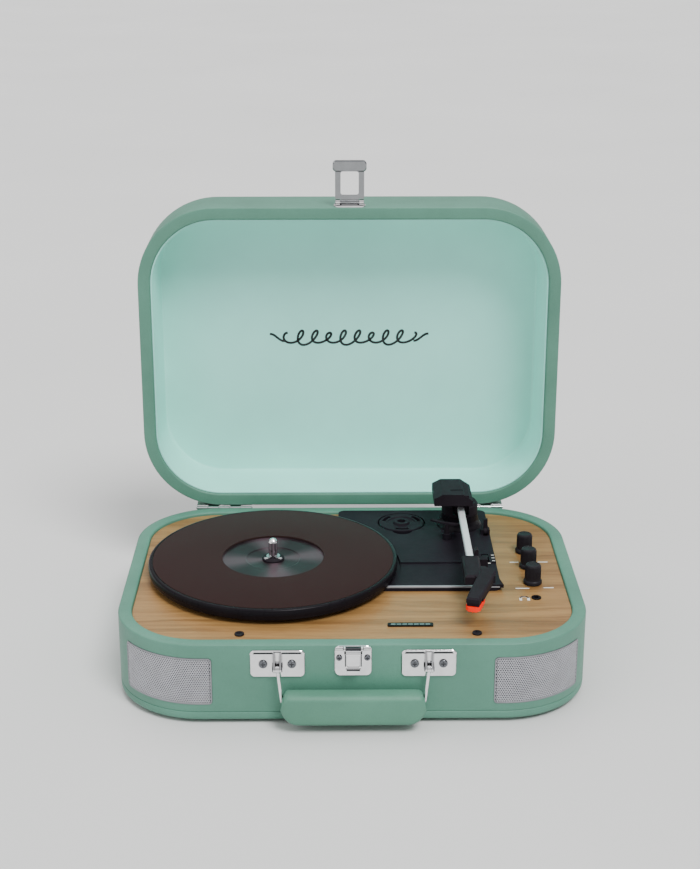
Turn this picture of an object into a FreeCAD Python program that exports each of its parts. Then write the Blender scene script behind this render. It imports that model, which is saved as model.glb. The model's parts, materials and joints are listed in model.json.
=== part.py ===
"""Portable suitcase record player: a covered two-part case with a belt-driven turntable inside.

Frame: millimetres, +Z up, +X to the right as seen from the front, +Y to the back. The origin is the
centre of the case's footprint, on the surface that the rubber feet stand on. The lid is modelled shut and
then turned to its open stop, which is how the player is used and how it rests here.
"""
import FreeCAD
import Part
import math
import os

# ---------------------------------------------------------------- driving dimensions
CASE_W, CASE_D, CORNER_R = 355.0, 263.0, 66.0
WALL = 10.4              # covered board wall, as seen on the rim
FOOT_H = 3.0
BOTTOM_T = 7.0           # bottom panel
CASE_TOP = 64.5          # rim of the lower case
LID_GAP = 0.6            # between the two rims when shut
LID_H = 54.0
LID_OPEN = 90.5          # degrees from shut to the open stop
PANEL_T, PANEL_TOP = 4.0, 62.0
HINGE_BACK, HINGE_DROP = 1.9, 1.0        # hinge axis behind the back face and below the rim
KNUCKLE_R, HINGE_PIN_R = 1.6, 0.9
PLATTER_R, PLATTER_TOP, PLATTER_EDGE = 99.0, 75.0, 8.6
SPINDLE_X, SPINDLE_Y, SPINDLE_R = -62.3, 3.0, 3.58
DRIVE_R, PULLEY_R, BELT_T = 60.0, 5.0, 0.8
PULLEY_REACH, PULLEY_ANGLE = 73.0, 135.0
ARM_X, ARM_Y, ARM_Z = 92.5, 88.0, 84.5
TUBE_W, TUBE_WALL = 5.4, 0.8
HEAD_ANGLE = 17.5        # offset of the head from the arm's line
HEAD_X, HEAD_Y, HEAD_L = 103.8, -55.0, 53.0
KNOB_X, KNOB_YS, KNOB_H = 142.4, (39.0, 8.8, -22.0), 16.5
JACK_X, JACK_Y = 142.2, -49.0
GRIP_W, GRIP_T, GRIP_Z0, GRIP_Z1, GRIP_LEAN = 105.6, 16.0, 7.0, 31.0, 1.8
BRACKET_X, BRACKET_Z, WIRE_X, WIRE_Z, WIRE_R = 55.0, 49.9, 51.6, 21.5, 1.3
RIM_R = 1.2              # outer edge of both rims
LINING_DRAFT = 3.0       # how much smaller the lining is at the lid's top than at its rim
HINGE_X, HINGE_W, KNUCKLES = 109.6, 48.0, 5
CASE_LEAF_Z, LID_LEAF_Z = 53.0, 76.5      # screw lines of the hinge leaves
RUN = 0.05               # radial running clearance

FRONT, BACK = -CASE_D / 2, CASE_D / 2
BASE_Z0 = FOOT_H + BOTTOM_T
LID_Z0 = CASE_TOP + LID_GAP
LID_TOP = LID_Z0 + LID_H
HINGE_Y, HINGE_Z = BACK + HINGE_BACK, CASE_TOP - HINGE_DROP
DECK_TOP = PANEL_TOP + 4.5
PLATE_TOP = PANEL_TOP + 2.5
PULLEY_X = SPINDLE_X + PULLEY_REACH * math.cos(math.radians(PULLEY_ANGLE))
PULLEY_Y = SPINDLE_Y + PULLEY_REACH * math.sin(math.radians(PULLEY_ANGLE))
HANDLE_PIVOT_Y, HANDLE_PIVOT_Z = FRONT - 4.6, 47.2
GRIP_Y = FRONT - 2.0 - GRIP_T / 2
HASP_Y, HASP_Z = FRONT - 4.0, 70.0
TONGUE_Y, TONGUE_Z = FRONT - 2.9, 62.2
PLATE_T = 1.2            # pressed chrome plates
V = FreeCAD.Vector
X, Y, Z = V(1, 0, 0), V(0, 1, 0), V(0, 0, 1)


# ---------------------------------------------------------------- helpers
def box(x0, x1, y0, y1, z0, z1):
    return Part.makeBox(x1 - x0, y1 - y0, z1 - z0, V(x0, y0, z0))


def rod(start, end, r):
    start, end = V(*start), V(*end)
    return Part.makeCylinder(r, (end - start).Length, start, end - start)


def post(x, y, z0, z1, r):
    return rod((x, y, z0), (x, y, z1), r)


def tube(x, y, z0, z1, r, hole):
    return post(x, y, z0, z1, r).cut(post(x, y, z0 - 1, z1 + 1, hole))


def fuse(shapes):
    whole = shapes[0]
    for s in shapes[1:]:
        whole = whole.fuse(s)
    return whole.removeSplitter()


def cut(shape, *cutters):
    for c in cutters:
        shape = shape.cut(c)
    return shape


def turned(shape, degrees, centre, axis):
    copy = shape.copy()
    copy.rotate(V(*centre), axis, degrees)
    return copy


def moved(shape, dx=0, dy=0, dz=0):
    copy = shape.copy()
    copy.translate(V(dx, dy, dz))
    return copy


def mirrored(shape):
    return shape.mirror(V(0, 0, 0), X)


def prism(points, z0, z1):
    """A polygon in plan, from z0 to z1."""
    wire = Part.makePolygon([V(x, y, z0) for x, y in points + points[:1]])
    return Part.Face(wire).extrude(V(0, 0, z1 - z0))


def side_plate(points, x0, x1):
    """A polygon in Y and Z, from x0 to x1."""
    wire = Part.makePolygon([V(x0, y, z) for y, z in points + points[:1]])
    return Part.Face(wire).extrude(V(x1 - x0, 0, 0))


def side_prism(points, y0, y1):
    """A polygon in X and Z, from y0 to y1."""
    wire = Part.makePolygon([V(x, y0, z) for x, z in points + points[:1]])
    return Part.Face(wire).extrude(V(0, y1 - y0, 0))


def turn_profile(points, x, y):
    """A profile of (radius, z) points turned round the vertical through x, y."""
    wire = Part.makePolygon([V(x + r, y, z) for r, z in points + points[:1]])
    return Part.Face(wire).revolve(V(x, y, 0), Z, 360)


def rounded(w, d, r, z0, z1, cx=0.0, cy=0.0):
    """A slab with round corners in plan."""
    hw, hd, edges = w / 2, d / 2, []
    turn = math.sqrt(0.5) * r
    corners = [(1, 1), (-1, 1), (-1, -1), (1, -1)]
    ends = []
    for sx, sy in corners:
        ox, oy = cx + sx * (hw - r), cy + sy * (hd - r)
        a, b = V(ox + sx * r, oy, z0), V(ox, oy + sy * r, z0)
        if sx * sy < 0:
            a, b = b, a
        ends.append((a, V(ox + sx * turn, oy + sy * turn, z0), b))
    for i, (a, mid, b) in enumerate(ends):
        edges.append(Part.Arc(a, mid, b).toShape())
        edges.append(Part.LineSegment(b, ends[(i + 1) % 4][0]).toShape())
    return Part.Face(Part.Wire(edges)).extrude(V(0, 0, z1 - z0))


def case_slab(inset, z0, z1):
    """The case's outline in plan, moved in by inset."""
    return rounded(CASE_W - 2 * inset, CASE_D - 2 * inset, CORNER_R - inset, z0, z1)


def drafted_slab(inset, z0, z1):
    """The case's outline at z0, narrowing by LINING_DRAFT on every side up to z1."""
    ends = []
    for extra, z in ((0.0, z0), (LINING_DRAFT, z1)):
        face = case_slab(inset + extra, z, z + 1.0)
        level = [f for f in face.Faces if abs(f.BoundBox.ZMax - z) < 0.01]
        ends.append(level[0].OuterWire)
    return Part.makeLoft(ends, True, True)


def edges_at(shape, z, inset=None):
    """The level edges at height z, and only those of the outline moved in by inset when it is given."""
    found = []
    for e in shape.Edges:
        b = e.BoundBox
        if abs(b.ZMin - z) > 0.01 or abs(b.ZMax - z) > 0.01:
            continue
        if inset is None or on_outline(e, inset):
            found.append(e)
    return found


def on_outline(edge, inset):
    hw, hd, r = CASE_W / 2 - inset, CASE_D / 2 - inset, CORNER_R - inset
    p = edge.valueAt((edge.FirstParameter + edge.LastParameter) / 2)
    x, y = abs(p.x) - (hw - r), abs(p.y) - (hd - r)
    if x > 0 and y > 0:
        return abs(math.hypot(x, y) - r) < 0.05
    return abs(max(abs(p.x) - hw, abs(p.y) - hd)) < 0.05


def bent_rod(points, bend_r, r):
    """A round rod along straight runs joined by arcs of one radius."""
    pts, edges = [V(*p) for p in points], []
    last = pts[0]
    for before, here, after in zip(pts, pts[1:], pts[2:]):
        u, w = (before - here).normalize(), (after - here).normalize()
        half = math.acos(max(-1, min(1, u.dot(w)))) / 2
        reach = bend_r / math.tan(half)
        a, b = here + u * reach, here + w * reach
        bisector = (u + w).normalize()
        mid = here + bisector * (bend_r / math.sin(half) - bend_r)
        edges += [Part.LineSegment(last, a).toShape(), Part.Arc(a, mid, b).toShape()]
        last = b
    edges.append(Part.LineSegment(last, pts[-1]).toShape())
    path = Part.Wire(edges)
    section = Part.Wire([Part.Circle(pts[0], pts[1] - pts[0], r).toShape()])
    return path.makePipeShell([section], True, True)


def screw(point, out, head_r, head_h, shank_r, length):
    """A cross-head screw with its head's underside at point and its head standing along out."""
    head = Part.makeCylinder(head_r, head_h, V(0, 0, 0), Z)
    head = head.makeFillet(head_h * 0.45, edges_at(head, head_h))
    slot = head_r * 1.1
    for w, d in ((slot, 0.6), (0.6, slot)):
        head = head.cut(box(-w / 2, w / 2, -d / 2, d / 2, head_h - 0.7, head_h + 1))
    body = head.fuse(Part.makeCylinder(shank_r, length, V(0, 0, -length), Z))
    return aimed(body, point, out)


def screw_hole(point, out, shank_r, length):
    return aimed(Part.makeCylinder(shank_r + 0.1, length + 3.5, V(0, 0, -length - 0.5), Z), point, out)


def back_screw_hole(x, z):
    return screw_hole((x, BACK + PLATE_T, z), (0, 1, 0), **SCREW)


def aimed(shape, point, out):
    """Turns a shape made along +Z to stand along out, at point."""
    copy = shape.copy()
    copy.Placement = FreeCAD.Placement(V(*point), FreeCAD.Rotation(Z, V(*out))).multiply(copy.Placement)
    return copy


def open_lid(shape):
    return turned(shape, -LID_OPEN, (0, HINGE_Y, HINGE_Z), X)


SCREW = dict(shank_r=1.4, length=7.0)
FRONT_SCREWS = [(s * BRACKET_X + t * 10.4, BRACKET_Z) for s in (-1, 1) for t in (-1, 1)]
FRONT_SCREWS += [(s * 10.2, 54.8) for s in (-1, 1)]
HINGE_SCREW_XS = [s * HINGE_X + t for s in (-1, 1) for t in (-16.0, 0.0, 16.0)]
PANEL_SCREWS = [(-83.5, -109.5), (91.5, -109.5), (-83.5, 109.5)]
FEET = [(sx * 128.0, sy * 84.0) for sx in (-1, 1) for sy in (-1, 1)]
DECK = (-10.0, 116.5, -36.0, 119.0)      # x and y limits of the tone arm deck
STEP_Y, STEP_H = 9.0, 1.0                # the deck is lower in front of this line
ADAPTER_X, ADAPTER_Y, ADAPTER_R = 43.6, 92.0, 19.0
CUE_Y, CUE_LUGS = 68.0, ((109.2, 110.9), (114.9, 116.4))
PARTS = {}


def keep(name, *shapes):
    """Stores one node: one or more separate solids."""
    solids = []
    for s in shapes:
        solids += s.Solids
    PARTS[name] = solids


# ---------------------------------------------------------------- lower case
def grille_region(z0, z1, x_start, end_angle, reach=100.0):
    """Plan region of a left corner grille: from x_start on the front face round to end_angle."""
    cx, cy = -CASE_W / 2 + CORNER_R, FRONT + CORNER_R
    a = math.radians(end_angle)
    far = (cx + reach * math.cos(a), cy + reach * math.sin(a))
    plan = [(x_start, cy), (cx, cy), far, (far[0], FRONT - 30), (x_start, FRONT - 30)]
    return prism(plan, z0, z1)


GRILLE = dict(z0=16.2, z1=54.0, x_start=-102.8, end_angle=212.0)
GRILLE_HOLE = dict(z0=20.2, z1=50.0, x_start=-106.8, end_angle=208.5)
GRILLE_SINK, GRILLE_PROUD = 0.8, 0.4
REAR_PLATE = (-58.0, 2.0, 22.0, 48.0)    # x and z limits of the socket plate in the back wall


def base_shell():
    shell = case_slab(0, BASE_Z0, CASE_TOP).cut(case_slab(WALL, BASE_Z0 - 1, CASE_TOP + 1))
    shell = shell.makeFillet(RIM_R, edges_at(shell, CASE_TOP, 0))
    shell = shell.makeFillet(1.5, edges_at(shell, CASE_TOP, WALL))
    shell = shell.makeFillet(0.8, edges_at(shell, BASE_Z0, 0))
    window = grille_region(**GRILLE_HOLE)
    sink = grille_region(**GRILLE).cut(case_slab(GRILLE_SINK, 0, 80))
    x0, x1, z0, z1 = REAR_PLATE
    cuts = [window, mirrored(window), sink, mirrored(sink)]
    cuts.append(box(x0 + 4, x1 - 4, BACK - WALL - 1, BACK + 1, z0 + 4, z1 - 4))
    cuts.append(box(x0, x1, BACK - 1.6, BACK + 1, z0, z1))
    cuts += [screw_hole((x, FRONT - PLATE_T, z), (0, -1, 0), **SCREW) for x, z in FRONT_SCREWS]
    cuts += [back_screw_hole(x, CASE_LEAF_Z) for x in HINGE_SCREW_XS]
    keep("base_shell", cut(shell, *cuts))


def bottom_panel():
    panel = case_slab(0, FOOT_H, BASE_Z0)
    panel = panel.makeFillet(3.0, edges_at(panel, FOOT_H))
    panel = panel.makeFillet(0.8, edges_at(panel, BASE_Z0))
    holes = [post(x, y, 0, BASE_Z0 - 1, 1.6) for x, y in FEET]
    keep("bottom_panel", cut(panel, *holes))
    foot = [(11, 0), (12, FOOT_H), (1.8, FOOT_H), (1.8, 1.7), (4, 1.7), (4, 0)]
    keep("rubber_feet", *[turn_profile(foot, x, y) for x, y in FEET])
    keep("foot_screws", *[screw((x, y, 1.7), (0, 0, -1), 3.2, 1.4, 1.5, 7.0) for x, y in FEET])


def speaker_grilles():
    plate = case_slab(-GRILLE_PROUD, 0, 80).cut(case_slab(GRILLE_SINK, -1, 81))
    inset = 0.15
    region = dict(GRILLE, z0=GRILLE["z0"] + inset, z1=GRILLE["z1"] - inset,
                  x_start=GRILLE["x_start"] - inset, end_angle=GRILLE["end_angle"] + inset)
    left = plate.common(grille_region(**region))
    keep("speaker_grille_left", left)
    keep("speaker_grille_right", mirrored(left))


def speakers():
    """Two small drivers, each facing out through its corner grille."""
    cx, cy, mid_z, a = -CASE_W / 2 + CORNER_R, FRONT + CORNER_R, 34.0, math.radians(239.0)
    out = (math.cos(a), math.sin(a), 0)
    point = (cx + 48 * out[0], cy + 48 * out[1], mid_z)
    basket = [(22, 0), (22, -1.6), (19, -1.6), (11, -13), (11, -14), (14.5, -14), (14.5, -22), (0, -22),
              (0, -12.5), (9.5, -12.5), (17.5, -1.6), (19, 0)]
    cone = [(18.4, -0.4), (17.6, -0.4), (6.5, -9.5), (0, -7.5), (0, -8.3), (6.6, -10.3), (17.2, -1.5)]
    bodies = []
    for profile in (basket, cone):
        shape = aimed(turn_profile(profile, 0, 0), point, out)
        bodies.append((shape, mirrored(shape)))
    keep("speaker_baskets", *bodies[0])
    keep("speaker_cones", *bodies[1])


# ---------------------------------------------------------------- top panel and its controls
def deck_rect(inset, z0, z1):
    x0, x1, y0, y1 = DECK
    w, d = x1 - x0 - 2 * inset, y1 - y0 - 2 * inset
    return rounded(w, d, 6.0, z0, z1, (x0 + x1) / 2, (y0 + y1) / 2)


def chassis_region(inset, z0, z1):
    """Round well under the platter joined to the deck under the arm."""
    return fuse([post(SPINDLE_X, SPINDLE_Y, z0, z1, 88 - inset), deck_rect(inset, z0, z1)])


def switch_bay(z0, z1):
    """Room for the speed switch's body at the deck's right edge."""
    return box(104.0, 113.0, 7.0, 27.0, z0, z1)


def wood_top_panel():
    panel = case_slab(WALL + 0.3, PANEL_TOP - PANEL_T, PANEL_TOP)
    cuts = [chassis_region(5.6, 50, 70), switch_bay(50, 70)]
    cuts += [post(KNOB_X, y, 50, 70, 3.7) for y in KNOB_YS]
    cuts.append(post(JACK_X, JACK_Y, 50, 70, 3.1))
    cuts += [post(x, y, 50, 70, 1.5) for x, y in PANEL_SCREWS]
    keep("wood_top_panel", cut(panel, *cuts))
    screws = [screw((x, y, PANEL_TOP), (0, 0, 1), 3.6, 1.5, 1.4, 12.0) for x, y in PANEL_SCREWS]
    keep("panel_screws", *screws)
    blocks = []
    for x, y in PANEL_SCREWS + [(140.0, 96.0)]:
        edge = math.copysign(BACK - WALL - 0.2, y)
        y0, y1 = sorted((edge, y - math.copysign(9.0, y)))
        if x > 100:
            y0, y1 = y - 8, y + 6
        block = box(x - 11, x + 11, y0, y1, BASE_Z0, PANEL_TOP - PANEL_T)
        blocks.append(block.cut(post(x, y, 40, 70, 1.5)))
    keep("panel_cleats", *blocks)
    keep("badge_plate", rounded(34.0, 5.0, 1.2, PANEL_TOP, PANEL_TOP + 1.2, 43.0, -95.5))


def knob(name, y):
    """Fluted knob on a wide skirt, with the steel shaft that it is pushed onto."""
    base, top = PANEL_TOP + 0.5, PANEL_TOP + KNOB_H
    body = turn_profile([(0, base), (7.3, base), (7.3, base + 2.6), (6.4, base + 3.6), (6.1, top - 1.2),
                         (5.2, top), (0, top)], KNOB_X, y)
    flutes = []
    for i in range(16):
        a = math.radians(22.5 * i + 11.25)
        flutes.append(post(KNOB_X + 6.75 * math.cos(a), y + 6.75 * math.sin(a), base + 4.6, top + 1, 0.85))
    pointer = box(KNOB_X - 0.5, KNOB_X + 0.5, y + 1.5, y + 6.5, top - 0.5, top + 1)
    socket = post(KNOB_X, y, base - 1, base + 11, 3.0)
    keep(name, cut(body, pointer, socket, *flutes), post(KNOB_X, y, 52.0, base + 10.8, 2.9))


def controls():
    for name, y in zip(("volume_knob", "source_knob", "mode_knob"), KNOB_YS):
        knob(name, y)
    pots = []
    for y in KNOB_YS:
        under = PANEL_TOP - PANEL_T
        can = fuse([post(KNOB_X, y, under - 9, under - 0.1, 8.0),
                    post(KNOB_X, y, under - 1, PANEL_TOP, 3.5)])
        tail = box(KNOB_X + 5, KNOB_X + 13, y - 6, y + 6, under - 7, under - 5.6)
        pots.append(fuse([can, tail]).cut(post(KNOB_X, y, under - 6.2, 80, 3.0)))
    keep("potentiometers", *pots)
    sleeve = fuse([post(JACK_X, JACK_Y, 56, PANEL_TOP, 3.0),
                   post(JACK_X, JACK_Y, PANEL_TOP, PANEL_TOP + 0.8, 3.8),
                   box(JACK_X - 5, JACK_X + 5, JACK_Y - 5, JACK_Y + 5, 42, PANEL_TOP - PANEL_T)])
    keep("headphone_socket", sleeve.cut(post(JACK_X, JACK_Y, 47.0, 70, 1.8)))


# ---------------------------------------------------------------- belt drive and platter
def mechanism_chassis():
    """One black moulding: round well plate, raised arm deck, and a skirt that drops into the panel."""
    plate = chassis_region(0, PANEL_TOP, PLATE_TOP)
    well = post(SPINDLE_X, SPINDLE_Y, 40, 90, PLATTER_R + 3)
    x0, x1, y0, y1 = DECK
    deck = deck_rect(0, PLATE_TOP, DECK_TOP).cut(well)
    deck = deck.cut(box(x0 - 1, x1 + 1, y0 - 1, STEP_Y, DECK_TOP - STEP_H, DECK_TOP + 1))
    lip = side_bevel(x0, x1, y0, DECK_TOP - STEP_H)
    flap_outline = [(x1 - 3.0, y0 + 26.0), (x1 + 1.8, y0 + 0.4), (x1 - 9.0, y0 + 0.4)]
    flap = prism(flap_outline, PLATE_TOP, DECK_TOP + 0.6)
    skirt = chassis_region(6, 54, PANEL_TOP).cut(chassis_region(8, 53, PANEL_TOP + 1))
    boss = post(SPINDLE_X, SPINDLE_Y, 50, PANEL_TOP, 9)
    guide = post(*LIFT_POST, PLATE_TOP, DECK_TOP + 5, 3.6)
    lugs = [box(a, b, CUE_Y - 3.5, CUE_Y + 3.5, DECK_TOP - 0.5, CUE_Z + 2.0) for a, b in CUE_LUGS]
    body = fuse([plate, deck.cut(lip), flap, skirt, boss, guide] + lugs)
    recess = DECK_TOP - 3.4
    cuts = [post(ADAPTER_X, ADAPTER_Y, recess, 80, ADAPTER_R + 1.3),
            post(ADAPTER_X, ADAPTER_Y - 17.0, recess, 80, 8.5)]
    for x, y, r in ((SPINDLE_X, SPINDLE_Y, 3.05), (PULLEY_X, PULLEY_Y, 6.6), (ARM_X, ARM_Y, 7.2)):
        cuts.append(post(x, y, 49, 70, r))
    cuts.append(post(*LIFT_POST, 49, 90, 2.0 + RUN))
    cuts.append(box(CUE_LUGS[0][1], CUE_LUGS[1][0], CUE_Y - 5.5, CUE_Y + 5.5, 55, DECK_TOP + 0.1))
    cuts.append(rod((CUE_LUGS[0][0] - 1.0, CUE_Y, CUE_Z), (CUE_LUGS[1][1] + 1.0, CUE_Y, CUE_Z), 1.1))
    cuts += [box(105.6, 111.4, 9.0, 25.0, 55, 80), switch_bay(50, PANEL_TOP)]
    keep("mechanism_chassis", cut(body, *cuts))


def side_bevel(x0, x1, y0, z):
    """What the bevelled front edge of the deck leaves out."""
    return side_plate([(y0 - 1, z + 1), (y0 + 2.2, z + 1), (y0 + 1.6, z), (y0, z - 1.4), (y0 - 1, z - 1.4)],
                      x0 - 1, x1 + 1)


def platter():
    r, top, edge = PLATTER_R, PLATTER_TOP, PLATTER_TOP - PLATTER_EDGE
    under, foot = top - 3.4, 65.6
    profile = [(9.0, foot), (9.0, top - 2.2), (21, top - 2.2), (21.6, top - 1.6), (40.2, top - 1.6),
               (40.2, top - 1.0), (96.0, top - 1.0), (96.0, top), (r - 2, top), (r, top - 2), (r, edge),
               (r - 2.2, edge), (r - 2.2, under), (DRIVE_R, under), (DRIVE_R, foot), (DRIVE_R - 2.4, foot),
               (DRIVE_R - 2.4, under), (12.5, under), (12.5, foot)]
    keep("platter", turn_profile(profile, SPINDLE_X, SPINDLE_Y))
    bore = SPINDLE_R + RUN
    bush = [(bore, 65.2), (8.9, 65.2), (8.9, top - 1.2), (7.6, top - 0.2), (bore, top - 0.2)]
    hub = turn_profile(bush, SPINDLE_X, SPINDLE_Y)
    for i in range(3):
        wing = box(4.6, 8.2, -1.7, 1.7, top - 0.9, top + 1)
        wing.translate(V(SPINDLE_X, SPINDLE_Y, 0))
        hub = hub.cut(turned(wing, 90 + 120 * i, (SPINDLE_X, SPINDLE_Y, 0), Z))
    keep("platter_bush", hub)
    keep("slip_mat", tube(SPINDLE_X, SPINDLE_Y, top - 1.0, top + 0.3, 95.6, 40.2))


def spindle():
    tip = 90.5
    r = SPINDLE_R
    profile = [(0, 48), (3.0, 48), (3.0, PLATE_TOP), (r, PLATE_TOP), (r, tip - 3.2), (r - 0.5, tip - 1.6),
               (r - 1.4, tip - 0.5), (1.0, tip), (0, tip)]
    shaft = turn_profile(profile, SPINDLE_X, SPINDLE_Y)
    groove = tube(SPINDLE_X, SPINDLE_Y, PLATTER_TOP + 0.1, PLATTER_TOP + 0.7, 5, 3.2)
    keep("record_spindle", shaft.cut(groove))
    clip = tube(SPINDLE_X, SPINDLE_Y, PLATTER_TOP + 0.15, PLATTER_TOP + 0.65, 5.4, 3.25)
    mouth = box(SPINDLE_X - 2.2, SPINDLE_X + 2.2, SPINDLE_Y - 8, SPINDLE_Y, PLATTER_TOP, PLATTER_TOP + 1)
    keep("spindle_clip", clip.cut(mouth))


def drive():
    """Motor under the chassis, crowned pulley above it, and a flat belt to the ring under the platter."""
    can = fuse([post(PULLEY_X, PULLEY_Y, 32, 53.8, 16), post(PULLEY_X, PULLEY_Y, 53.8, PANEL_TOP, 6)])
    keep("motor_housing", can.cut(post(PULLEY_X, PULLEY_Y, 45, 70, 1.0 + RUN)))
    crown = [(0, 65.3), (6.2, 65.3), (6.2, 66.2), (PULLEY_R - 0.2, 66.5), (PULLEY_R, 68.4),
             (PULLEY_R - 0.2, 70.3), (6.2, 70.6), (6.2, 71.2), (0, 71.2)]
    pulley = turn_profile(crown, PULLEY_X, PULLEY_Y)
    keep("motor_pulley", fuse([pulley, post(PULLEY_X, PULLEY_Y, 46, 66, 1.0)]))
    keep("drive_belt", belt_band(DRIVE_R + 0.2, PULLEY_R + 0.2, 66.9, 69.9))


def belt_band(big, small, z0, z1):
    """Flat loop round two circles, outside minus inside."""
    def loop(extra):
        lean = math.acos((big - small) / PULLEY_REACH)
        axis = math.radians(PULLEY_ANGLE)
        sides = []
        for cx, cy, r in ((SPINDLE_X, SPINDLE_Y, big + extra), (PULLEY_X, PULLEY_Y, small + extra)):
            for s in (1, -1):
                a = axis + s * lean
                sides.append((cx + r * math.cos(a), cy + r * math.sin(a)))
        quad = [sides[0], sides[2], sides[3], sides[1]]
        return fuse([post(SPINDLE_X, SPINDLE_Y, z0, z1, big + extra),
                     post(PULLEY_X, PULLEY_Y, z0, z1, small + extra), prism(quad, z0, z1)])
    return loop(BELT_T).cut(loop(0.0))


# ---------------------------------------------------------------- tone arm
LIFT_R, LIFT_ANGLE = 34.0, 22.0
LIFT_POST = (ARM_X - LIFT_R * math.sin(math.radians(LIFT_ANGLE)),
             ARM_Y - LIFT_R * math.cos(math.radians(LIFT_ANGLE)))
CUE_Z = DECK_TOP + 2.2


def arm_base():
    """Flared turret fixed to the deck, and the yoke drum that turns on it and carries the pivot pins."""
    top = DECK_TOP + 11.2
    turret = [(3.0 + RUN, 60), (7.0, 60), (7.0, DECK_TOP), (19.0, DECK_TOP), (18.4, DECK_TOP + 1.4),
              (16.9, DECK_TOP + 3.4), (15.9, DECK_TOP + 6.4), (15.4, top), (3.0 + RUN, top)]
    keep("arm_turret", turn_profile(turret, ARM_X, ARM_Y))
    z0, z1, slot = top + 0.3, ARM_Z + 3.6, 6.6
    drum = turn_profile([(0, z0), (15.2, z0), (15.2, z1 - 2.0), (13.6, z1), (0, z1)], ARM_X, ARM_Y)
    drum = drum.cut(box(ARM_X - slot, ARM_X + slot, ARM_Y - 17, ARM_Y + 17, z0 + 2.2, z1 + 1))
    yoke = fuse([drum, post(ARM_X, ARM_Y, 58, z0, 3.0)])
    keep("arm_yoke", yoke.cut(rod((ARM_X - 9.4, ARM_Y, ARM_Z), (ARM_X + 9.4, ARM_Y, ARM_Z), 1.2)))
    pins = [rod((ARM_X + s * 3.6, ARM_Y, ARM_Z), (ARM_X + s * 9.2, ARM_Y, ARM_Z), 1.15) for s in (-1, 1)]
    keep("arm_pivot_pins", *pins)


def square_bar(x, z, y0, y1, w, r):
    """A bar along Y with a square section and round corners."""
    bar = box(x - w / 2, x + w / 2, y0, y1, z - w / 2, z + w / 2)
    return bar.makeFillet(r, [e for e in bar.Edges if e.BoundBox.YLength > w])


def arm():
    """Everything that tilts on the arm's pivot pins."""
    y_back, y_front = ARM_Y - 8.0, HEAD_Y + 13.0
    pipe = square_bar(ARM_X, ARM_Z, y_front, y_back, TUBE_W, 1.4)
    hollow = square_bar(ARM_X, ARM_Z, y_front - 1, y_back - 1, TUBE_W - 2 * TUBE_WALL, 0.6)
    keep("arm_tube", pipe.cut(hollow))
    arm_block(y_back)
    head(y_front)


def arm_block(tube_end):
    """Wedge-topped cover behind the pivot, open underneath, with a neck that takes the tube's end."""
    low, high, wall = 93.0, 103.0, 1.8
    y0, y1 = ARM_Y - 25.0, ARM_Y + 12.0
    outer = [(-23.0, low), (-23.0, 99.3), (-16.0, high), (0.8, high), (9.0, 97.5), (9.0, low)]
    inner = [(-21.2, low - 1), (-21.2, 98.4), (-15.4, high - wall), (0.2, high - wall), (7.2, 96.6),
             (7.2, low - 1)]
    cover = side_prism([(ARM_X + x, z) for x, z in outer], y0, y1)
    cover = cover.cut(side_prism([(ARM_X + x, z) for x, z in inner], y0 + wall, y1 - wall))
    cover = cover.cut(box(ARM_X - 9.3, ARM_X + 5.7, ARM_Y - 14.8, ARM_Y - 13.2, high - 0.6, high + 1))
    side = [(ARM_Y - 12.0, 81.4), (ARM_Y - 12.0, 88.0), (y0 + 0.4, 97.5), (y0 + 0.4, high - 1.0),
            (ARM_Y + 6.0, high - 1.0), (ARM_Y + 6.0, 81.4)]
    neck = side_plate(side, ARM_X - 5.9, ARM_X + 5.9)
    cover = fuse([cover, neck])
    socket = square_bar(ARM_X, ARM_Z, ARM_Y - 20, tube_end + 0.05, TUBE_W + 0.05, 1.4)
    pivot = rod((ARM_X - 7, ARM_Y, ARM_Z), (ARM_X + 7, ARM_Y, ARM_Z), 1.2)
    keep("arm_rear_block", cut(cover, socket, pivot))
    keep("arm_weight", box(ARM_X - 20.5, ARM_X - 7.5, ARM_Y - 12, ARM_Y + 9, 94.0, 98.0),
         box(ARM_X - 5, ARM_X + 5, ARM_Y + 6.1, ARM_Y + 9.8, 93.5, 97.5))


def head_frame(shape):
    """Turns a piece made along Y at the origin to the head's offset, with its rear at the shoulder."""
    copy = turned(shape, -HEAD_ANGLE, (0, 0, 0), Z)
    copy.translate(V(HEAD_X, HEAD_Y, 0))
    return copy


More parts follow.
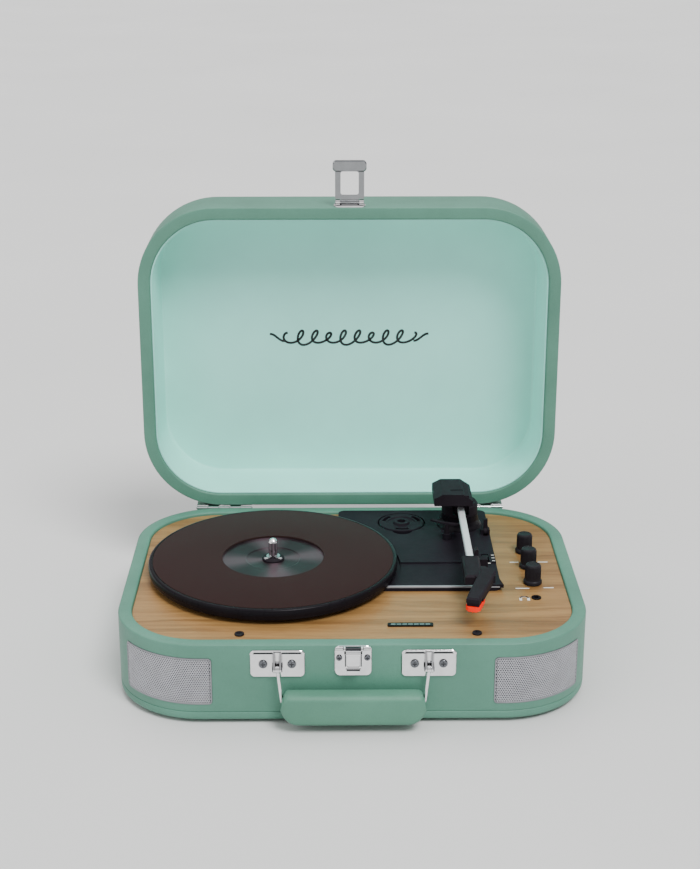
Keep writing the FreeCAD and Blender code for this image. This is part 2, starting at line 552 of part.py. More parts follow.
def head(tube_end):
    """Collar on the tube, shoulder, tapering shell with its cartridge, and the stylus under its nose."""
    under, top, tip = 82.0, 88.6, -HEAD_L
    collar = box(ARM_X - 6.8, ARM_X + 6.8, HEAD_Y - 9.0, tube_end + 17.0, 80.6, 87.9)
    collar = collar.makeChamfer(1.6, [e for e in collar.Edges if abs(e.BoundBox.ZMin - 87.9) < 0.01])
    shoulder = prism([(ARM_X + 2, HEAD_Y + 10), (ARM_X + 9, HEAD_Y + 10), (HEAD_X + 5.6, HEAD_Y + 2),
                      (HEAD_X + 4.8, HEAD_Y - 9), (HEAD_X - 6, HEAD_Y - 14), (ARM_X, HEAD_Y - 8)],
                     under, 87.4)
    outline = [(-6.2, 0), (6.2, 0), (5.5, tip + 12), (4.9, tip), (-4.9, tip), (-5.5, tip + 12)]
    cap = prism(outline, top - 4.0, top)
    cap = cap.makeChamfer(1.2, [e for e in cap.Edges if abs(e.BoundBox.ZMin - top) < 0.01])
    skirt = prism([(-6.0, -4), (6.0, -4), (5.5, tip + 12), (-5.5, tip + 12)], 81.4, top - 3.5)
    skirt = skirt.cut(box(-4.7, 4.7, tip, -6, 80, top - 4.0))
    shell = fuse([collar, shoulder, head_frame(cap), head_frame(skirt)])
    socket = square_bar(ARM_X, ARM_Z, tube_end - 0.05, 0, TUBE_W + 0.05, 1.4)
    keep("head_shell", cut(shell, socket, head_frame(box(-4.7, 4.7, tip + 8, -16, 78, top - 4.0))))
    body = fuse([box(-4.6, 4.6, tip + 1.5, -20, 81.4, top - 4.1), box(-4.6, 4.6, tip + 8, -20, 79.9, 82)])
    keep("cartridge", head_frame(body))
    holder = box(-5.5, 5.5, tip - 0.5, tip + 18, 77.9, 81.3)
    holder = holder.cut(box(-4.7, 4.7, tip + 7.5, tip + 20, 79.8, 82))
    holder = holder.cut(box(-6.0, 4.8, tip + 12, tip + 20, 77, 82))
    nose = prism([(-5.7, tip - 1), (-2.6, tip - 1), (-5.7, tip + 3)], 77, 82)
    needle = rod((0, tip + 4, 78.3), (0, tip + 0.4, 77.2), 0.35)
    keep("stylus", head_frame(fuse([cut(holder, nose, mirrored(nose)), needle])))


def arm_controls():
    arm_rest()
    ring = tube(ARM_X, ARM_Y, 79.6, 81.0, LIFT_R + 1.6, LIFT_R - 1.6)
    sweep = [(3, 0), (3, -50), (-40, -50), (-40, -36)]
    reach = prism([(ARM_X + x, ARM_Y + y) for x, y in sweep], 70, 90)
    keep("cue_lift_bar", fuse([ring.common(reach), post(*LIFT_POST, 56, 80, 2.0)]))
    x0, x1 = CUE_LUGS[0][1] + 0.4, CUE_LUGS[1][0] - 0.4
    lever = fuse([rod((x0, CUE_Y, CUE_Z), (x1, CUE_Y, CUE_Z), 3.4),
                  box(x0, x1, CUE_Y - 1.6, CUE_Y + 1.6, CUE_Z, DECK_TOP + 13),
                  rod((CUE_LUGS[0][0] + 0.4, CUE_Y, CUE_Z), (CUE_LUGS[1][1] - 0.2, CUE_Y, CUE_Z), 1.0)])
    keep("cue_lever", lever)
    keep("speed_slider", box(106.2, 110.8, 15.2, 18.8, 59.4, DECK_TOP + 1.6))
    body = box(104.2, 112.8, 7.2, 26.8, 56.5, PANEL_TOP)
    keep("speed_switch", body.cut(box(105.6, 111.4, 9.0, 25.0, 59, 80)))
    adapter()


def arm_rest():
    """Post with a shelf under the tube and a round-topped stop beside it."""
    y0, y1 = -20, -13
    shelf = box(ARM_X - 5.0, 107, y0, y1, 79.0, 81.5)
    stem = box(99.0, 107, y0, y1, DECK_TOP - STEP_H, 80)
    hook = box(96.6, 99.4, y0, y1, 80, 88.4).fuse(rod((98.0, y0, 88.4), (98.0, y1, 88.4), 1.4))
    rest = fuse([shelf, stem, hook])
    keep("arm_rest", rest.makeFillet(1.0, [e for e in rest.Edges if abs(e.BoundBox.ZMax - 79.0) < 0.01
                                           and e.BoundBox.YLength > 6]))


def adapter():
    """Loose centre for large-hole records: a disc with a raised hub and three curved slots."""
    r, z0, z1 = ADAPTER_R, DECK_TOP - 3.2, DECK_TOP + 0.4
    hole = SPINDLE_R + RUN
    disc = [(hole, z0), (r - 0.1, z0), (r, z0 + 0.6), (r, z1 - 0.5), (r - 0.8, z1), (12, z1),
            (11.4, z1 - 0.7), (7.4, z1 - 0.7), (6.6, z1 + 1.0), (hole, z1 + 1.0)]
    spider = turn_profile(disc, ADAPTER_X, ADAPTER_Y)
    ring = tube(ADAPTER_X, ADAPTER_Y, 60, 70, 16.6, 13.4)
    fan = [(0, 0), (30, -12), (30, 12)]
    sector = prism([(ADAPTER_X + x, ADAPTER_Y + y) for x, y in fan], 60, 70)
    slot = ring.common(sector)
    for i in range(3):
        spider = spider.cut(turned(slot, 30 + 120 * i, (ADAPTER_X, ADAPTER_Y, 0), Z))
    keep("adapter_45", spider)


# ---------------------------------------------------------------- hardware on the front
def front_plate(w, z0, z1, x=0.0, r=3.6, chamfer=0.5):
    """Pressed plate on the front face with round corners and a softened outer edge."""
    plate = rounded(w, z1 - z0, r, 0, PLATE_T)
    plate = plate.makeChamfer(chamfer, edges_at(plate, PLATE_T))
    plate = turned(plate, 90, (0, 0, 0), X)
    return moved(plate, x, FRONT, (z0 + z1) / 2)


def handle():
    """Two screwed brackets with pinned eyes, and the wire with its grip that swings on them."""
    y, z = HANDLE_PIVOT_Y, HANDLE_PIVOT_Z
    eye, ear = 1.5, (1.7, 2.9)
    brackets, pins, eyes, bores = [], [], [], []
    for x in (-BRACKET_X, BRACKET_X):
        brackets.append(handle_bracket(x, ear))
        pin = [rod((x - 3.0, y, z), (x + 3.0, y, z), 1.2)]
        pin += [rod((x + t * 3.0, y, z), (x + t * 3.7, y, z), 1.9) for t in (-1, 1)]
        pins.append(fuse(pin))
        eyes.append(rod((x - eye, y, z), (x + eye, y, z), 2.6))
        bores.append(rod((x - eye - 1, y, z), (x + eye + 1, y, z), 1.2 + RUN))
    keep("handle_brackets", *brackets)
    keep("handle_wire", cut(fuse([handle_path(WIRE_R)] + eyes), *bores))
    keep("handle_grip", grip())
    keep("hardware_pins", *pins, rod((-7.2, TONGUE_Y, TONGUE_Z), (7.2, TONGUE_Y, TONGUE_Z), 0.8))


def handle_bracket(x, ear):
    """Plate with a fold line under its top edge and two narrow straps that hold the pin."""
    y, z = HANDLE_PIVOT_Y, HANDLE_PIVOT_Z
    low, high, strap_top = 39.2, 60.6, 59.2
    plate = front_plate(40.0, low, high, x)
    fold = box(x - 17.6, x + 17.6, FRONT - PLATE_T - 1, FRONT - PLATE_T + 0.35, high - 2.9, high - 2.2)
    body = [plate.cut(fold)]
    strap = [(FRONT - 0.5, strap_top), (FRONT - 2.2, strap_top), (y - 2.4, z + 1.2), (y - 0.8, z - 2.4),
             (FRONT - 0.5, z - 2.6)]
    for s in (-1, 1):
        a, b = sorted((x + s * ear[0], x + s * ear[1]))
        body += [side_plate(strap, a, b), rod((a, y, z), (b, y, z), 2.6)]
    body.append(box(x - ear[0], x + ear[0], FRONT - 2.0, FRONT - 0.5, z + 5.4, strap_top))
    cuts = [screw_hole((sx, FRONT - PLATE_T, sz), (0, -1, 0), **SCREW) for sx, sz in FRONT_SCREWS[:4]]
    cuts.append(rod((x - 4, y, z), (x + 4, y, z), 1.25))
    return cut(fuse(body), *cuts)


def handle_path(r):
    """The handle's wire: down from each pivot, a little inwards, and straight through the grip."""
    top = (HANDLE_PIVOT_Y, HANDLE_PIVOT_Z)
    low = (GRIP_Y, WIRE_Z)
    return bent_rod([(-BRACKET_X, *top), (-WIRE_X, *low), (WIRE_X, *low), (BRACKET_X, *top)], 4.0, r)


def grip():
    """Padded block, nearly square above and with wide lower corners, moulded over the wire."""
    high, low, r, rim = GRIP_Z1, GRIP_Z0, 13.5, 3.0
    foot, head = GRIP_W / 2, GRIP_W / 2 - GRIP_LEAN
    y0 = GRIP_Y - GRIP_T / 2
    k = 1 - math.sqrt(0.5)
    edges, starts = [], []
    for s in (1, -1):
        middle = V(s * (foot - r * k), y0, low + r * k)
        starts.append((V(s * (foot - r), y0, low), middle, V(s * foot, y0, low + r)))
        edges.append(Part.Arc(*starts[-1]))
        edges.append(Part.LineSegment(starts[-1][2], V(s * head, y0, high)))
    edges.append(Part.LineSegment(starts[0][0], starts[1][0]))
    edges.append(Part.LineSegment(V(head, y0, high), V(-head, y0, high)))
    outline = Part.Wire(Part.__sortEdges__([e.toShape() for e in edges]))
    block = Part.Face(outline).extrude(V(0, GRIP_T, 0))
    corners = [e for e in block.Edges if abs(e.BoundBox.ZMin - high) < 0.01 and e.BoundBox.XLength < 0.01]
    block = block.makeFillet(4.0, corners)
    block = block.makeFillet(rim, [e for e in block.Edges if e.BoundBox.YLength < 0.01])
    return block.cut(handle_path(WIRE_R + 0.05))


def latch():
    """Plate with rolled top corners and two knuckles, and the sprung tongue that the loop hooks under."""
    y, z = TONGUE_Y, TONGUE_Z
    body = [front_plate(27.0, 40.0, CASE_TOP - 0.3, r=4.0)]
    for a, b in ((-6.9, -5.7), (5.7, 6.9)):
        body += [box(a, b, y, FRONT - 0.5, z - 1.9, z + 1.7), rod((a, y, z), (b, y, z), 1.7)]
    body += [rod((a, FRONT - 1.3, z), (b, FRONT - 1.3, z), 1.3) for a, b in ((-12.6, -7.4), (7.4, 12.6))]
    holes = [screw_hole((x, FRONT - PLATE_T, sz), (0, -1, 0), **SCREW) for x, sz in FRONT_SCREWS[4:]]
    keep("latch_plate", cut(fuse(body), rod((-7.3, y, z), (7.3, y, z), 0.85), *holes))
    shield = side_prism([(-6.5, 59.6), (6.5, 59.6), (6.6, 50.0), (4.9, 46.4), (-4.9, 46.4), (-6.6, 50.0)],
                        FRONT - 5.4, FRONT - 3.6)
    recess = side_prism([(-5.0, 57.8), (5.0, 57.8), (5.0, 50.6), (4.0, 49.0), (-4.0, 49.0), (-5.0, 50.6)],
                        FRONT - 6.0, FRONT - 4.9)
    lip = side_prism([(-5.6, 47.8), (5.6, 47.8), (4.6, 45.4), (-4.6, 45.4)], FRONT - 6.2, FRONT - 4.4)
    barrel = fuse([rod((-5.4, y, z), (5.4, y, z), 1.7), box(-5.4, 5.4, FRONT - 4.6, FRONT - 3.0, 58.5, z)])
    tongue = fuse([shield.cut(recess), lip, barrel, box(-5.4, 5.4, FRONT - 5.0, FRONT - 3.6, 58.5, 60.5)])
    keep("latch_tongue", tongue.cut(rod((-6, y, z), (6, y, z), 0.85)))


def hasp():
    y, z = HASP_Y, HASP_Z
    plate = [front_plate(26.0, LID_Z0 + 0.9, 78.5)]
    for a, b in ((-11.6, -8.0), (8.0, 11.6)):
        plate += [rod((a, y, z), (b, y, z), 2.0), box(a, b, y, FRONT - 0.5, z - 1.2, z + 1.2)]
    holes = [screw_hole((x, FRONT - PLATE_T, 75.3), (0, -1, 0), **SCREW) for x in HASP_SCREW_XS]
    keep("hasp_plate", open_lid(cut(fuse(plate), rod((-14, y, z), (14, y, z), 1.05), *holes)))
    keep("hasp_pin", open_lid(rod((-11.9, y, z), (11.9, y, z), 1.0)))
    t = 0.9
    frame = [box(-12, 12, y - 34, y - 2.6, z - t, z + t), rod((-7.7, y, z), (7.7, y, z), 2.0),
             box(-7.7, 7.7, y - 3.5, y, z - t, z + t)]
    cap = rounded(28.0, 9.0, 3.0, z - 2.6, z + 1.2, 0, y - 29.6)
    frame.append(cap.makeChamfer(0.9, edges_at(cap, z - 2.6)))
    loop = fuse(frame)
    window = rounded(14.9, 19.6, 2.0, z - 9, z + 9, 0, y - 15.4)
    loop = cut(loop, window, rod((-14, y, z), (14, y, z), 1.0 + RUN))
    keep("hasp", open_lid(loop))


HASP_SCREW_XS = (-9.2, 9.2)


# ---------------------------------------------------------------- lid and hinges
def lid():
    shell = case_slab(0, LID_Z0, LID_TOP)
    shell = shell.makeFillet(6.0, edges_at(shell, LID_TOP))
    shell = shell.cut(case_slab(WALL, LID_Z0 - 1, LID_TOP - 3.0))
    shell = shell.makeFillet(RIM_R, edges_at(shell, LID_Z0, 0))
    shell = shell.makeFillet(1.5, edges_at(shell, LID_Z0, WALL))
    cuts = [back_screw_hole(x, LID_LEAF_Z) for x in HINGE_SCREW_XS]
    cuts += [screw_hole((x, FRONT - PLATE_T, 75.3), (0, -1, 0), **SCREW) for x in HASP_SCREW_XS]
    keep("lid_shell", open_lid(cut(shell, *cuts)))
    mouth, ceiling, card = LID_Z0 + 2.0, LID_TOP - 3.05, 1.2
    lining = drafted_slab(WALL + 0.05, mouth, ceiling)
    hollow = drafted_slab(WALL + 0.05 + card, mouth, ceiling - card)
    hollow = hollow.fuse(case_slab(WALL + 0.05 + card, mouth - 1.0, mouth)).removeSplitter()
    keep("lid_lining", open_lid(lining.cut(hollow)))
    screws = [screw((x, BACK + PLATE_T, LID_LEAF_Z), (0, 1, 0), 2.7, 1.2, **SCREW) for x in HINGE_SCREW_XS]
    screws += [screw((x, FRONT - PLATE_T, 75.3), (0, -1, 0), 2.6, 1.2, **SCREW) for x in HASP_SCREW_XS]
    keep("lid_screws", *[open_lid(s) for s in screws])


def hinge_leaf(left, z0, z1, first):
    """A leaf on the back faces with every second knuckle, starting from the one numbered first."""
    step, gap = HINGE_W / KNUCKLES, 0.2
    leaf = [box(left, left + HINGE_W, BACK, BACK + PLATE_T, z0, z1)]
    near = z1 if first == 0 else z0
    web0, web1 = min(HINGE_Z, near), max(HINGE_Z, near)
    for i in range(first, KNUCKLES, 2):
        a, b = left + i * step + gap, left + (i + 1) * step - gap
        leaf.append(rod((a, HINGE_Y, HINGE_Z), (b, HINGE_Y, HINGE_Z), KNUCKLE_R))
        leaf.append(box(a, b, BACK + 0.3, BACK + PLATE_T, web0, web1))
    bore = rod((left - 1, HINGE_Y, HINGE_Z), (left + HINGE_W + 1, HINGE_Y, HINGE_Z), HINGE_PIN_R + RUN)
    return fuse(leaf).cut(bore)


def hinges():
    """Two five-knuckle butt hinges: three knuckles on the case leaf, two on the lid leaf."""
    case_leaves, lid_leaves, pins = [], [], []
    for s in (-1, 1):
        left = s * HINGE_X - HINGE_W / 2
        low = hinge_leaf(left, 46.0, HINGE_Z - 2.4, 0)
        high = hinge_leaf(left, HINGE_Z + 3.6, 83.5, 1)
        case_leaves.append(cut(low, *[back_screw_hole(x, CASE_LEAF_Z) for x in HINGE_SCREW_XS]))
        lid_leaves.append(open_lid(cut(high, *[back_screw_hole(x, LID_LEAF_Z) for x in HINGE_SCREW_XS])))
        a, b = left - 0.6, left + HINGE_W + 0.6
        pins.append(rod((a, HINGE_Y, HINGE_Z), (b, HINGE_Y, HINGE_Z), HINGE_PIN_R))
    keep("hinge_base_leaves", *case_leaves)
    keep("hinge_lid_leaves", *lid_leaves)
    keep("hinge_pins", *pins)
    screws = [screw((x, BACK + PLATE_T, CASE_LEAF_Z), (0, 1, 0), 2.7, 1.2, **SCREW) for x in HINGE_SCREW_XS]
    for i, (x, z) in enumerate(FRONT_SCREWS):
        head_r = 3.1 if i < 4 else 2.2
        screws.append(screw((x, FRONT - PLATE_T, z), (0, -1, 0), head_r, 1.3, **SCREW))
    keep("case_screws", *screws)


# ---------------------------------------------------------------- electronics
def electronics():
    board = box(-40, 50, 40, 105, 16, 17.6)
    parts = [post(x, y, BASE_Z0, 16, 2.5) for x, y in ((-36, 44), (46, 44), (-36, 101), (46, 101))]
    parts += [post(x, 60, 17.6, 29, 4.0) for x in (-20, -8, 4)]
    parts += [box(20, 42, 52, 66, 17.6, 22), box(-30, -6, 80, 96, 17.6, 20)]
    parts += [box(8 + i * 5, 10.5 + i * 5, 78, 98, 17.6, 34) for i in range(6)]
    keep("main_board", board, *parts)
    x0, x1, z0, z1 = REAR_PLATE
    xs, z = (-48.0, -34.0, -20.0, -8.0), (z0 + z1) / 2
    plate = box(x0 + 0.2, x1 - 0.2, BACK - 1.6, BACK - 0.1, z0 + 0.2, z1 - 0.2)
    holes = [rod((x, BACK - 3, z), (x, BACK + 1, z), 3.1) for x in xs]
    keep("rear_socket_plate", cut(plate, *holes))
    sockets = []
    for x in xs[:2]:
        barrel = fuse([rod((x, BACK - 16, z), (x, BACK - 0.1, z), 3.0),
                       rod((x, BACK - 0.1, z), (x, BACK + 8.5, z), 4.15),
                       box(x - 5.5, x + 5.5, BACK - 16, BACK - 1.8, z - 6, z + 6)])
        sockets.append(barrel.cut(rod((x, BACK - 8, z), (x, BACK + 9, z), 1.6)))
    for x, r in ((xs[2], 1.8), (xs[3], 2.8)):
        body = fuse([rod((x, BACK - 16, z), (x, BACK, z), 3.0),
                     box(x - 5, x + 5, BACK - 16, BACK - 1.8, z - 6, z + 6)])
        sockets.append(body.cut(rod((x, BACK - 14, z), (x, BACK + 1, z), r)))
    keep("rear_sockets", *sockets)


def build():
    for make in (base_shell, bottom_panel, speaker_grilles, speakers, wood_top_panel, controls,
                 mechanism_chassis, platter, spindle, drive, arm_base, arm, arm_controls, handle, latch,
                 hasp, lid, hinges, electronics):
        make()
    os.makedirs("parts", exist_ok=True)
    for old in os.listdir("parts"):
        os.remove(os.path.join("parts", old))
    for name, solids in PARTS.items():
        bad = [i for i, s in enumerate(solids) if not s.isValid() or s.Volume <= 0]
        if bad or not solids:
            print("CHECK", name, len(solids), bad)
        shape = solids[0] if len(solids) == 1 else Part.makeCompound(solids)
        shape.exportStep("parts/%s.step" % name)
    print(len(PARTS), "nodes,", sum(len(s) for s in PARTS.values()), "solids")


build()
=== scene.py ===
"""Looks of a suitcase record player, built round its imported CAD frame. Lengths are in millimetres."""
import bmesh
import bpy
import json
import math
from mathutils import Matrix, Vector


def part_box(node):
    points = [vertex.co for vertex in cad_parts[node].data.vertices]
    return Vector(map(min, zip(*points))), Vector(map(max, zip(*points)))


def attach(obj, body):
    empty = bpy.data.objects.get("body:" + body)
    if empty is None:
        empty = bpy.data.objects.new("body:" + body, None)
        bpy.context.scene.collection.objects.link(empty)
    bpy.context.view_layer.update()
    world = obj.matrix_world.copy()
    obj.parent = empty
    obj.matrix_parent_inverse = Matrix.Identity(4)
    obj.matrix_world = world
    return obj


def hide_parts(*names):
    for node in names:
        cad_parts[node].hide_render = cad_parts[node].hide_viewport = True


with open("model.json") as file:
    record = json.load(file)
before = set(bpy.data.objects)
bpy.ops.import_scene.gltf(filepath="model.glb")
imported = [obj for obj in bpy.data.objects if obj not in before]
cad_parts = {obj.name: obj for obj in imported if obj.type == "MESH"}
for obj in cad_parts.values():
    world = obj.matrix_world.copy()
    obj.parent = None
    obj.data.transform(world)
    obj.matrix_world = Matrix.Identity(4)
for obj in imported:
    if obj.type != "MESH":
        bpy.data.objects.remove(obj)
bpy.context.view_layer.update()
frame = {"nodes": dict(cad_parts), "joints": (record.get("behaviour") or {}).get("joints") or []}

MM = 0.001
TAU = 2 * math.pi
NODES = frame["nodes"]
JOINTS = {j["name"]: j for j in frame["joints"]}


# ================================================================ places read from the frame
def box_mm(node):
    low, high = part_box(node)
    return low / MM, high / MM


def pivot_mm(joint):
    return Vector(JOINTS[joint]["pos_m"]) / MM


CASE_LOW, CASE_HIGH = box_mm("base_shell")
CASE_W, CASE_D = CASE_HIGH.x - CASE_LOW.x, CASE_HIGH.y - CASE_LOW.y
FRONT, BACK = CASE_LOW.y, CASE_HIGH.y
CASE_Z0, CASE_TOP = CASE_LOW.z, CASE_HIGH.z
CORNER_R, WALL, RIM_R = 66.0, 10.4, 1.2
PANEL_TOP = box_mm("wood_top_panel")[1].z
HINGE = pivot_mm("lid_hinge")
LID_OPEN = -JOINTS["lid_hinge"]["range_deg"][0]
LID_Z0, LID_H = CASE_TOP + 0.6, 54.0
LID_TOP = LID_Z0 + LID_H
SPINDLE = pivot_mm("platter_spin")
PLATTER_TOP = box_mm("platter")[1].z
PLATTER_LOW = box_mm("platter")[0].z
PLATTER_R = (box_mm("platter")[1].x - box_mm("platter")[0].x) / 2
DECK_TOP = PANEL_TOP + 4.5
DECK_LOW, DECK_HIGH, DECK_STEP = Vector((-10.0, -36.0)), Vector((116.5, 119.0)), 1.0
GRIP_LOW, GRIP_HIGH = box_mm("handle_grip")


# ================================================================ mesh helpers
def add_object(name, mesh):
    obj = bpy.data.objects.new(name, mesh)
    bpy.context.scene.collection.objects.link(obj)
    return obj


def shade(obj, angle=32.0):
    for face in obj.data.polygons:
        face.use_smooth = True
    obj.data.set_sharp_from_angle(angle=math.radians(angle))
    return obj


def build(name, verts, faces, angle=32.0):
    """A mesh object from points in millimetres, with its normals made consistent."""
    mesh = bpy.data.meshes.new(name)
    mesh.from_pydata([Vector(v) * MM for v in verts], [], faces)
    work = bmesh.new()
    work.from_mesh(mesh)
    bmesh.ops.recalc_face_normals(work, faces=work.faces)
    work.to_mesh(mesh)
    work.free()
    return shade(add_object(name, mesh), angle)


def bevel(obj, width, segments=2, angle=30.0):
    mod = obj.modifiers.new("Bevel", "BEVEL")
    mod.width = width * MM
    mod.segments = segments
    mod.limit_method = "ANGLE"
    mod.angle_limit = math.radians(angle)
    mod.harden_normals = True
    return obj


def apply_modifiers(obj):
    graph = bpy.context.evaluated_depsgraph_get()
    mesh = bpy.data.meshes.new_from_object(obj.evaluated_get(graph))
    obj.modifiers.clear()
    obj.data = mesh
    return obj


def carve(obj, *cutters):
    """Cuts closed shapes out of obj and removes them."""
    for cutter in cutters:
        mod = obj.modifiers.new("Cut", "BOOLEAN")
        mod.operation = "DIFFERENCE"
        mod.solver = "EXACT"
        mod.object = cutter
    apply_modifiers(obj)
    for cutter in cutters:
        bpy.data.objects.remove(cutter)
    return shade(obj)


def join(name, pieces):
    """One object from several, with their modifiers applied."""
    work = bmesh.new()
    for piece in pieces:
        apply_modifiers(piece)
        work.from_mesh(piece.data)
    mesh = bpy.data.meshes.new(name)
    work.to_mesh(mesh)
    work.free()
    for piece in pieces:
        bpy.data.objects.remove(piece)
    return shade(add_object(name, mesh))


def transform(obj, matrix):
    obj.data.transform(matrix)
    return obj


def about(point, degrees, axis):
    """Turn about an axis through a point given in millimetres."""
    p = Vector(point) * MM
    turn = Matrix.Rotation(math.radians(degrees), 4, axis)
    return Matrix.Translation(p) @ turn @ Matrix.Translation(-p)


def open_lid(obj):
    return transform(obj, about(HINGE, -LID_OPEN, "X"))


def mirror_x(obj):
    obj.data.transform(Matrix.Scale(-1, 4, (1, 0, 0)))
    obj.data.flip_normals()
    return obj


def place(obj, body, slot, finish, *replaced):
    """Gives a finished piece its body and material, and hides the CAD nodes that it stands for; slot is
    not used.
    """
    obj.data.materials.clear()
    obj.data.materials.append(finish)
    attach(obj, body)
    if replaced:
        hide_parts(*replaced)
    return obj


def dress(finish, *nodes, soften=0.0):
    """Gives CAD nodes a finish, and a fine rounding on their edges."""
    for name in nodes:
        node = NODES[name]
        node.data.materials.clear()
        node.data.materials.append(finish)
        shade(node)
        if soften:
            bevel(node, soften)


# ---------------------------------------------------------------- shapes
def arc(cx, cy, r, start, end, steps):
    """Points on an arc, angles in degrees, both ends included."""
    points = []
    for i in range(steps + 1):
        a = math.radians(start + (end - start) * i / steps)
        points.append((cx + r * math.cos(a), cy + r * math.sin(a)))
    return points


def rounded_rect(w, d, r, cx=0.0, cy=0.0, steps=8):
    """Outline of a rectangle with round corners, anticlockwise."""
    points = []
    for sx, sy, start in ((1, 1, 0), (-1, 1, 90), (-1, -1, 180), (1, -1, 270)):
        points += arc(cx + sx * (w / 2 - r), cy + sy * (d / 2 - r), r, start, start + 90, steps)
    return points


def case_ring(inset, corner_steps=20, side_steps=6):
    """The case's outline moved in by inset, with points along its straight sides too."""
    corners = rounded_rect(CASE_W - 2 * inset, CASE_D - 2 * inset, CORNER_R - inset, 0, 0, corner_steps)
    points, n = [], corner_steps + 1
    for k in range(4):
        run = corners[k * n:(k + 1) * n]
        points += run
        a, b = Vector(run[-1]), Vector(corners[((k + 1) * n) % (4 * n)])
        points += [tuple(a.lerp(b, i / side_steps)) for i in range(1, side_steps)]
    return points


def loft(name, rings, closed=False, caps=True, angle=32.0):
    """Skin over rings that each have the same number of points."""
    n, verts, faces = len(rings[0]), [], []
    for ring in rings:
        verts += ring
    last = len(rings) if closed else len(rings) - 1
    for i in range(last):
        a, b = i * n, ((i + 1) % len(rings)) * n
        faces += [(a + j, a + (j + 1) % n, b + (j + 1) % n, b + j) for j in range(n)]
    if caps and not closed:
        faces += [tuple(range(n)), tuple(range((len(rings) - 1) * n, len(rings) * n))]
    return build(name, verts, faces, angle)


def case_loft(name, profile, closed=False, caps=True):
    """Sweeps (inset, z) points round the case's outline."""
    rings = [[(x, y, z) for x, y in case_ring(inset)] for inset, z in profile]
    return loft(name, rings, closed, caps)


def slab(name, outline, z0, z1, edge=0.0, segments=2):
    """A flat plate with a given outline, from z0 to z1."""
    n = len(outline)
    verts = [(x, y, z0) for x, y in outline] + [(x, y, z1) for x, y in outline]
    faces = [(j, (j + 1) % n, n + (j + 1) % n, n + j) for j in range(n)]
    faces += [tuple(range(n)), tuple(range(n, 2 * n))]
    obj = build(name, verts, faces)
    return bevel(obj, edge, segments) if edge else obj


def block(name, x0, x1, y0, y1, z0, z1, edge=0.0, segments=2):
    return slab(name, [(x0, y0), (x1, y0), (x1, y1), (x0, y1)], z0, z1, edge, segments)


def lathe(name, profile, centre, steps=96, swell=None, angle=32.0):
    """Turns (radius, z) points round the vertical through centre; swell changes a radius."""
    verts, faces, rows = [], [], []
    for r, z in profile:
        if r < 1e-6:
            rows.append([len(verts)] * steps)
            verts.append((centre[0], centre[1], z))
            continue
        row = []
        for i in range(steps):
            a = TAU * i / steps
            radius = swell(r, z, a) if swell else r
            row.append(len(verts))
            verts.append((centre[0] + radius * math.cos(a), centre[1] + radius * math.sin(a), z))
        rows.append(row)
    for low, high in zip(rows, rows[1:]):
        for i in range(steps):
            k = (i + 1) % steps
            corner = []
            for v in (low[i], low[k], high[k], high[i]):
                if v not in corner:
                    corner.append(v)
            if len(corner) > 2:
                faces.append(tuple(corner))
    return build(name, verts, faces, angle)


def rod(name, start, end, r, steps=24, edge=0.0):
    """A round bar between two points."""
    start, end = Vector(start), Vector(end)
    length = (end - start).length
    edge = min(edge, r * 0.9, length * 0.45)
    profile = [(0, 0), (r - edge, 0), (r, edge), (r, length - edge), (r - edge, length), (0, length)]
    obj = lathe(name, profile, (0, 0), steps)
    turn = (end - start).to_track_quat("Z", "Y").to_matrix().to_4x4()
    return transform(obj, Matrix.Translation(start * MM) @ turn)


def flat_marks(name, strokes, z, width, height):
    """Printed marks: each stroke is a list of points joined by a flat ribbon."""
    verts, faces = [], []
    for stroke in strokes:
        for a, b in zip(stroke, stroke[1:]):
            a, b = Vector(a), Vector(b)
            side = (b - a).orthogonal().normalized() * width / 2
            along = (b - a).normalized() * width * 0.3
            base = len(verts)
            quad = [a - along + side, b + along + side, b + along - side, a - along - side]
            verts += [(p.x, p.y, z) for p in quad] + [(p.x, p.y, z + height) for p in quad]
            for j in range(4):
                k = (j + 1) % 4
                faces.append((base + j, base + k, base + 4 + k, base + 4 + j))
            faces += [tuple(base + j for j in range(4)), tuple(base + 4 + j for j in range(4))]
    return build(name, verts, faces)


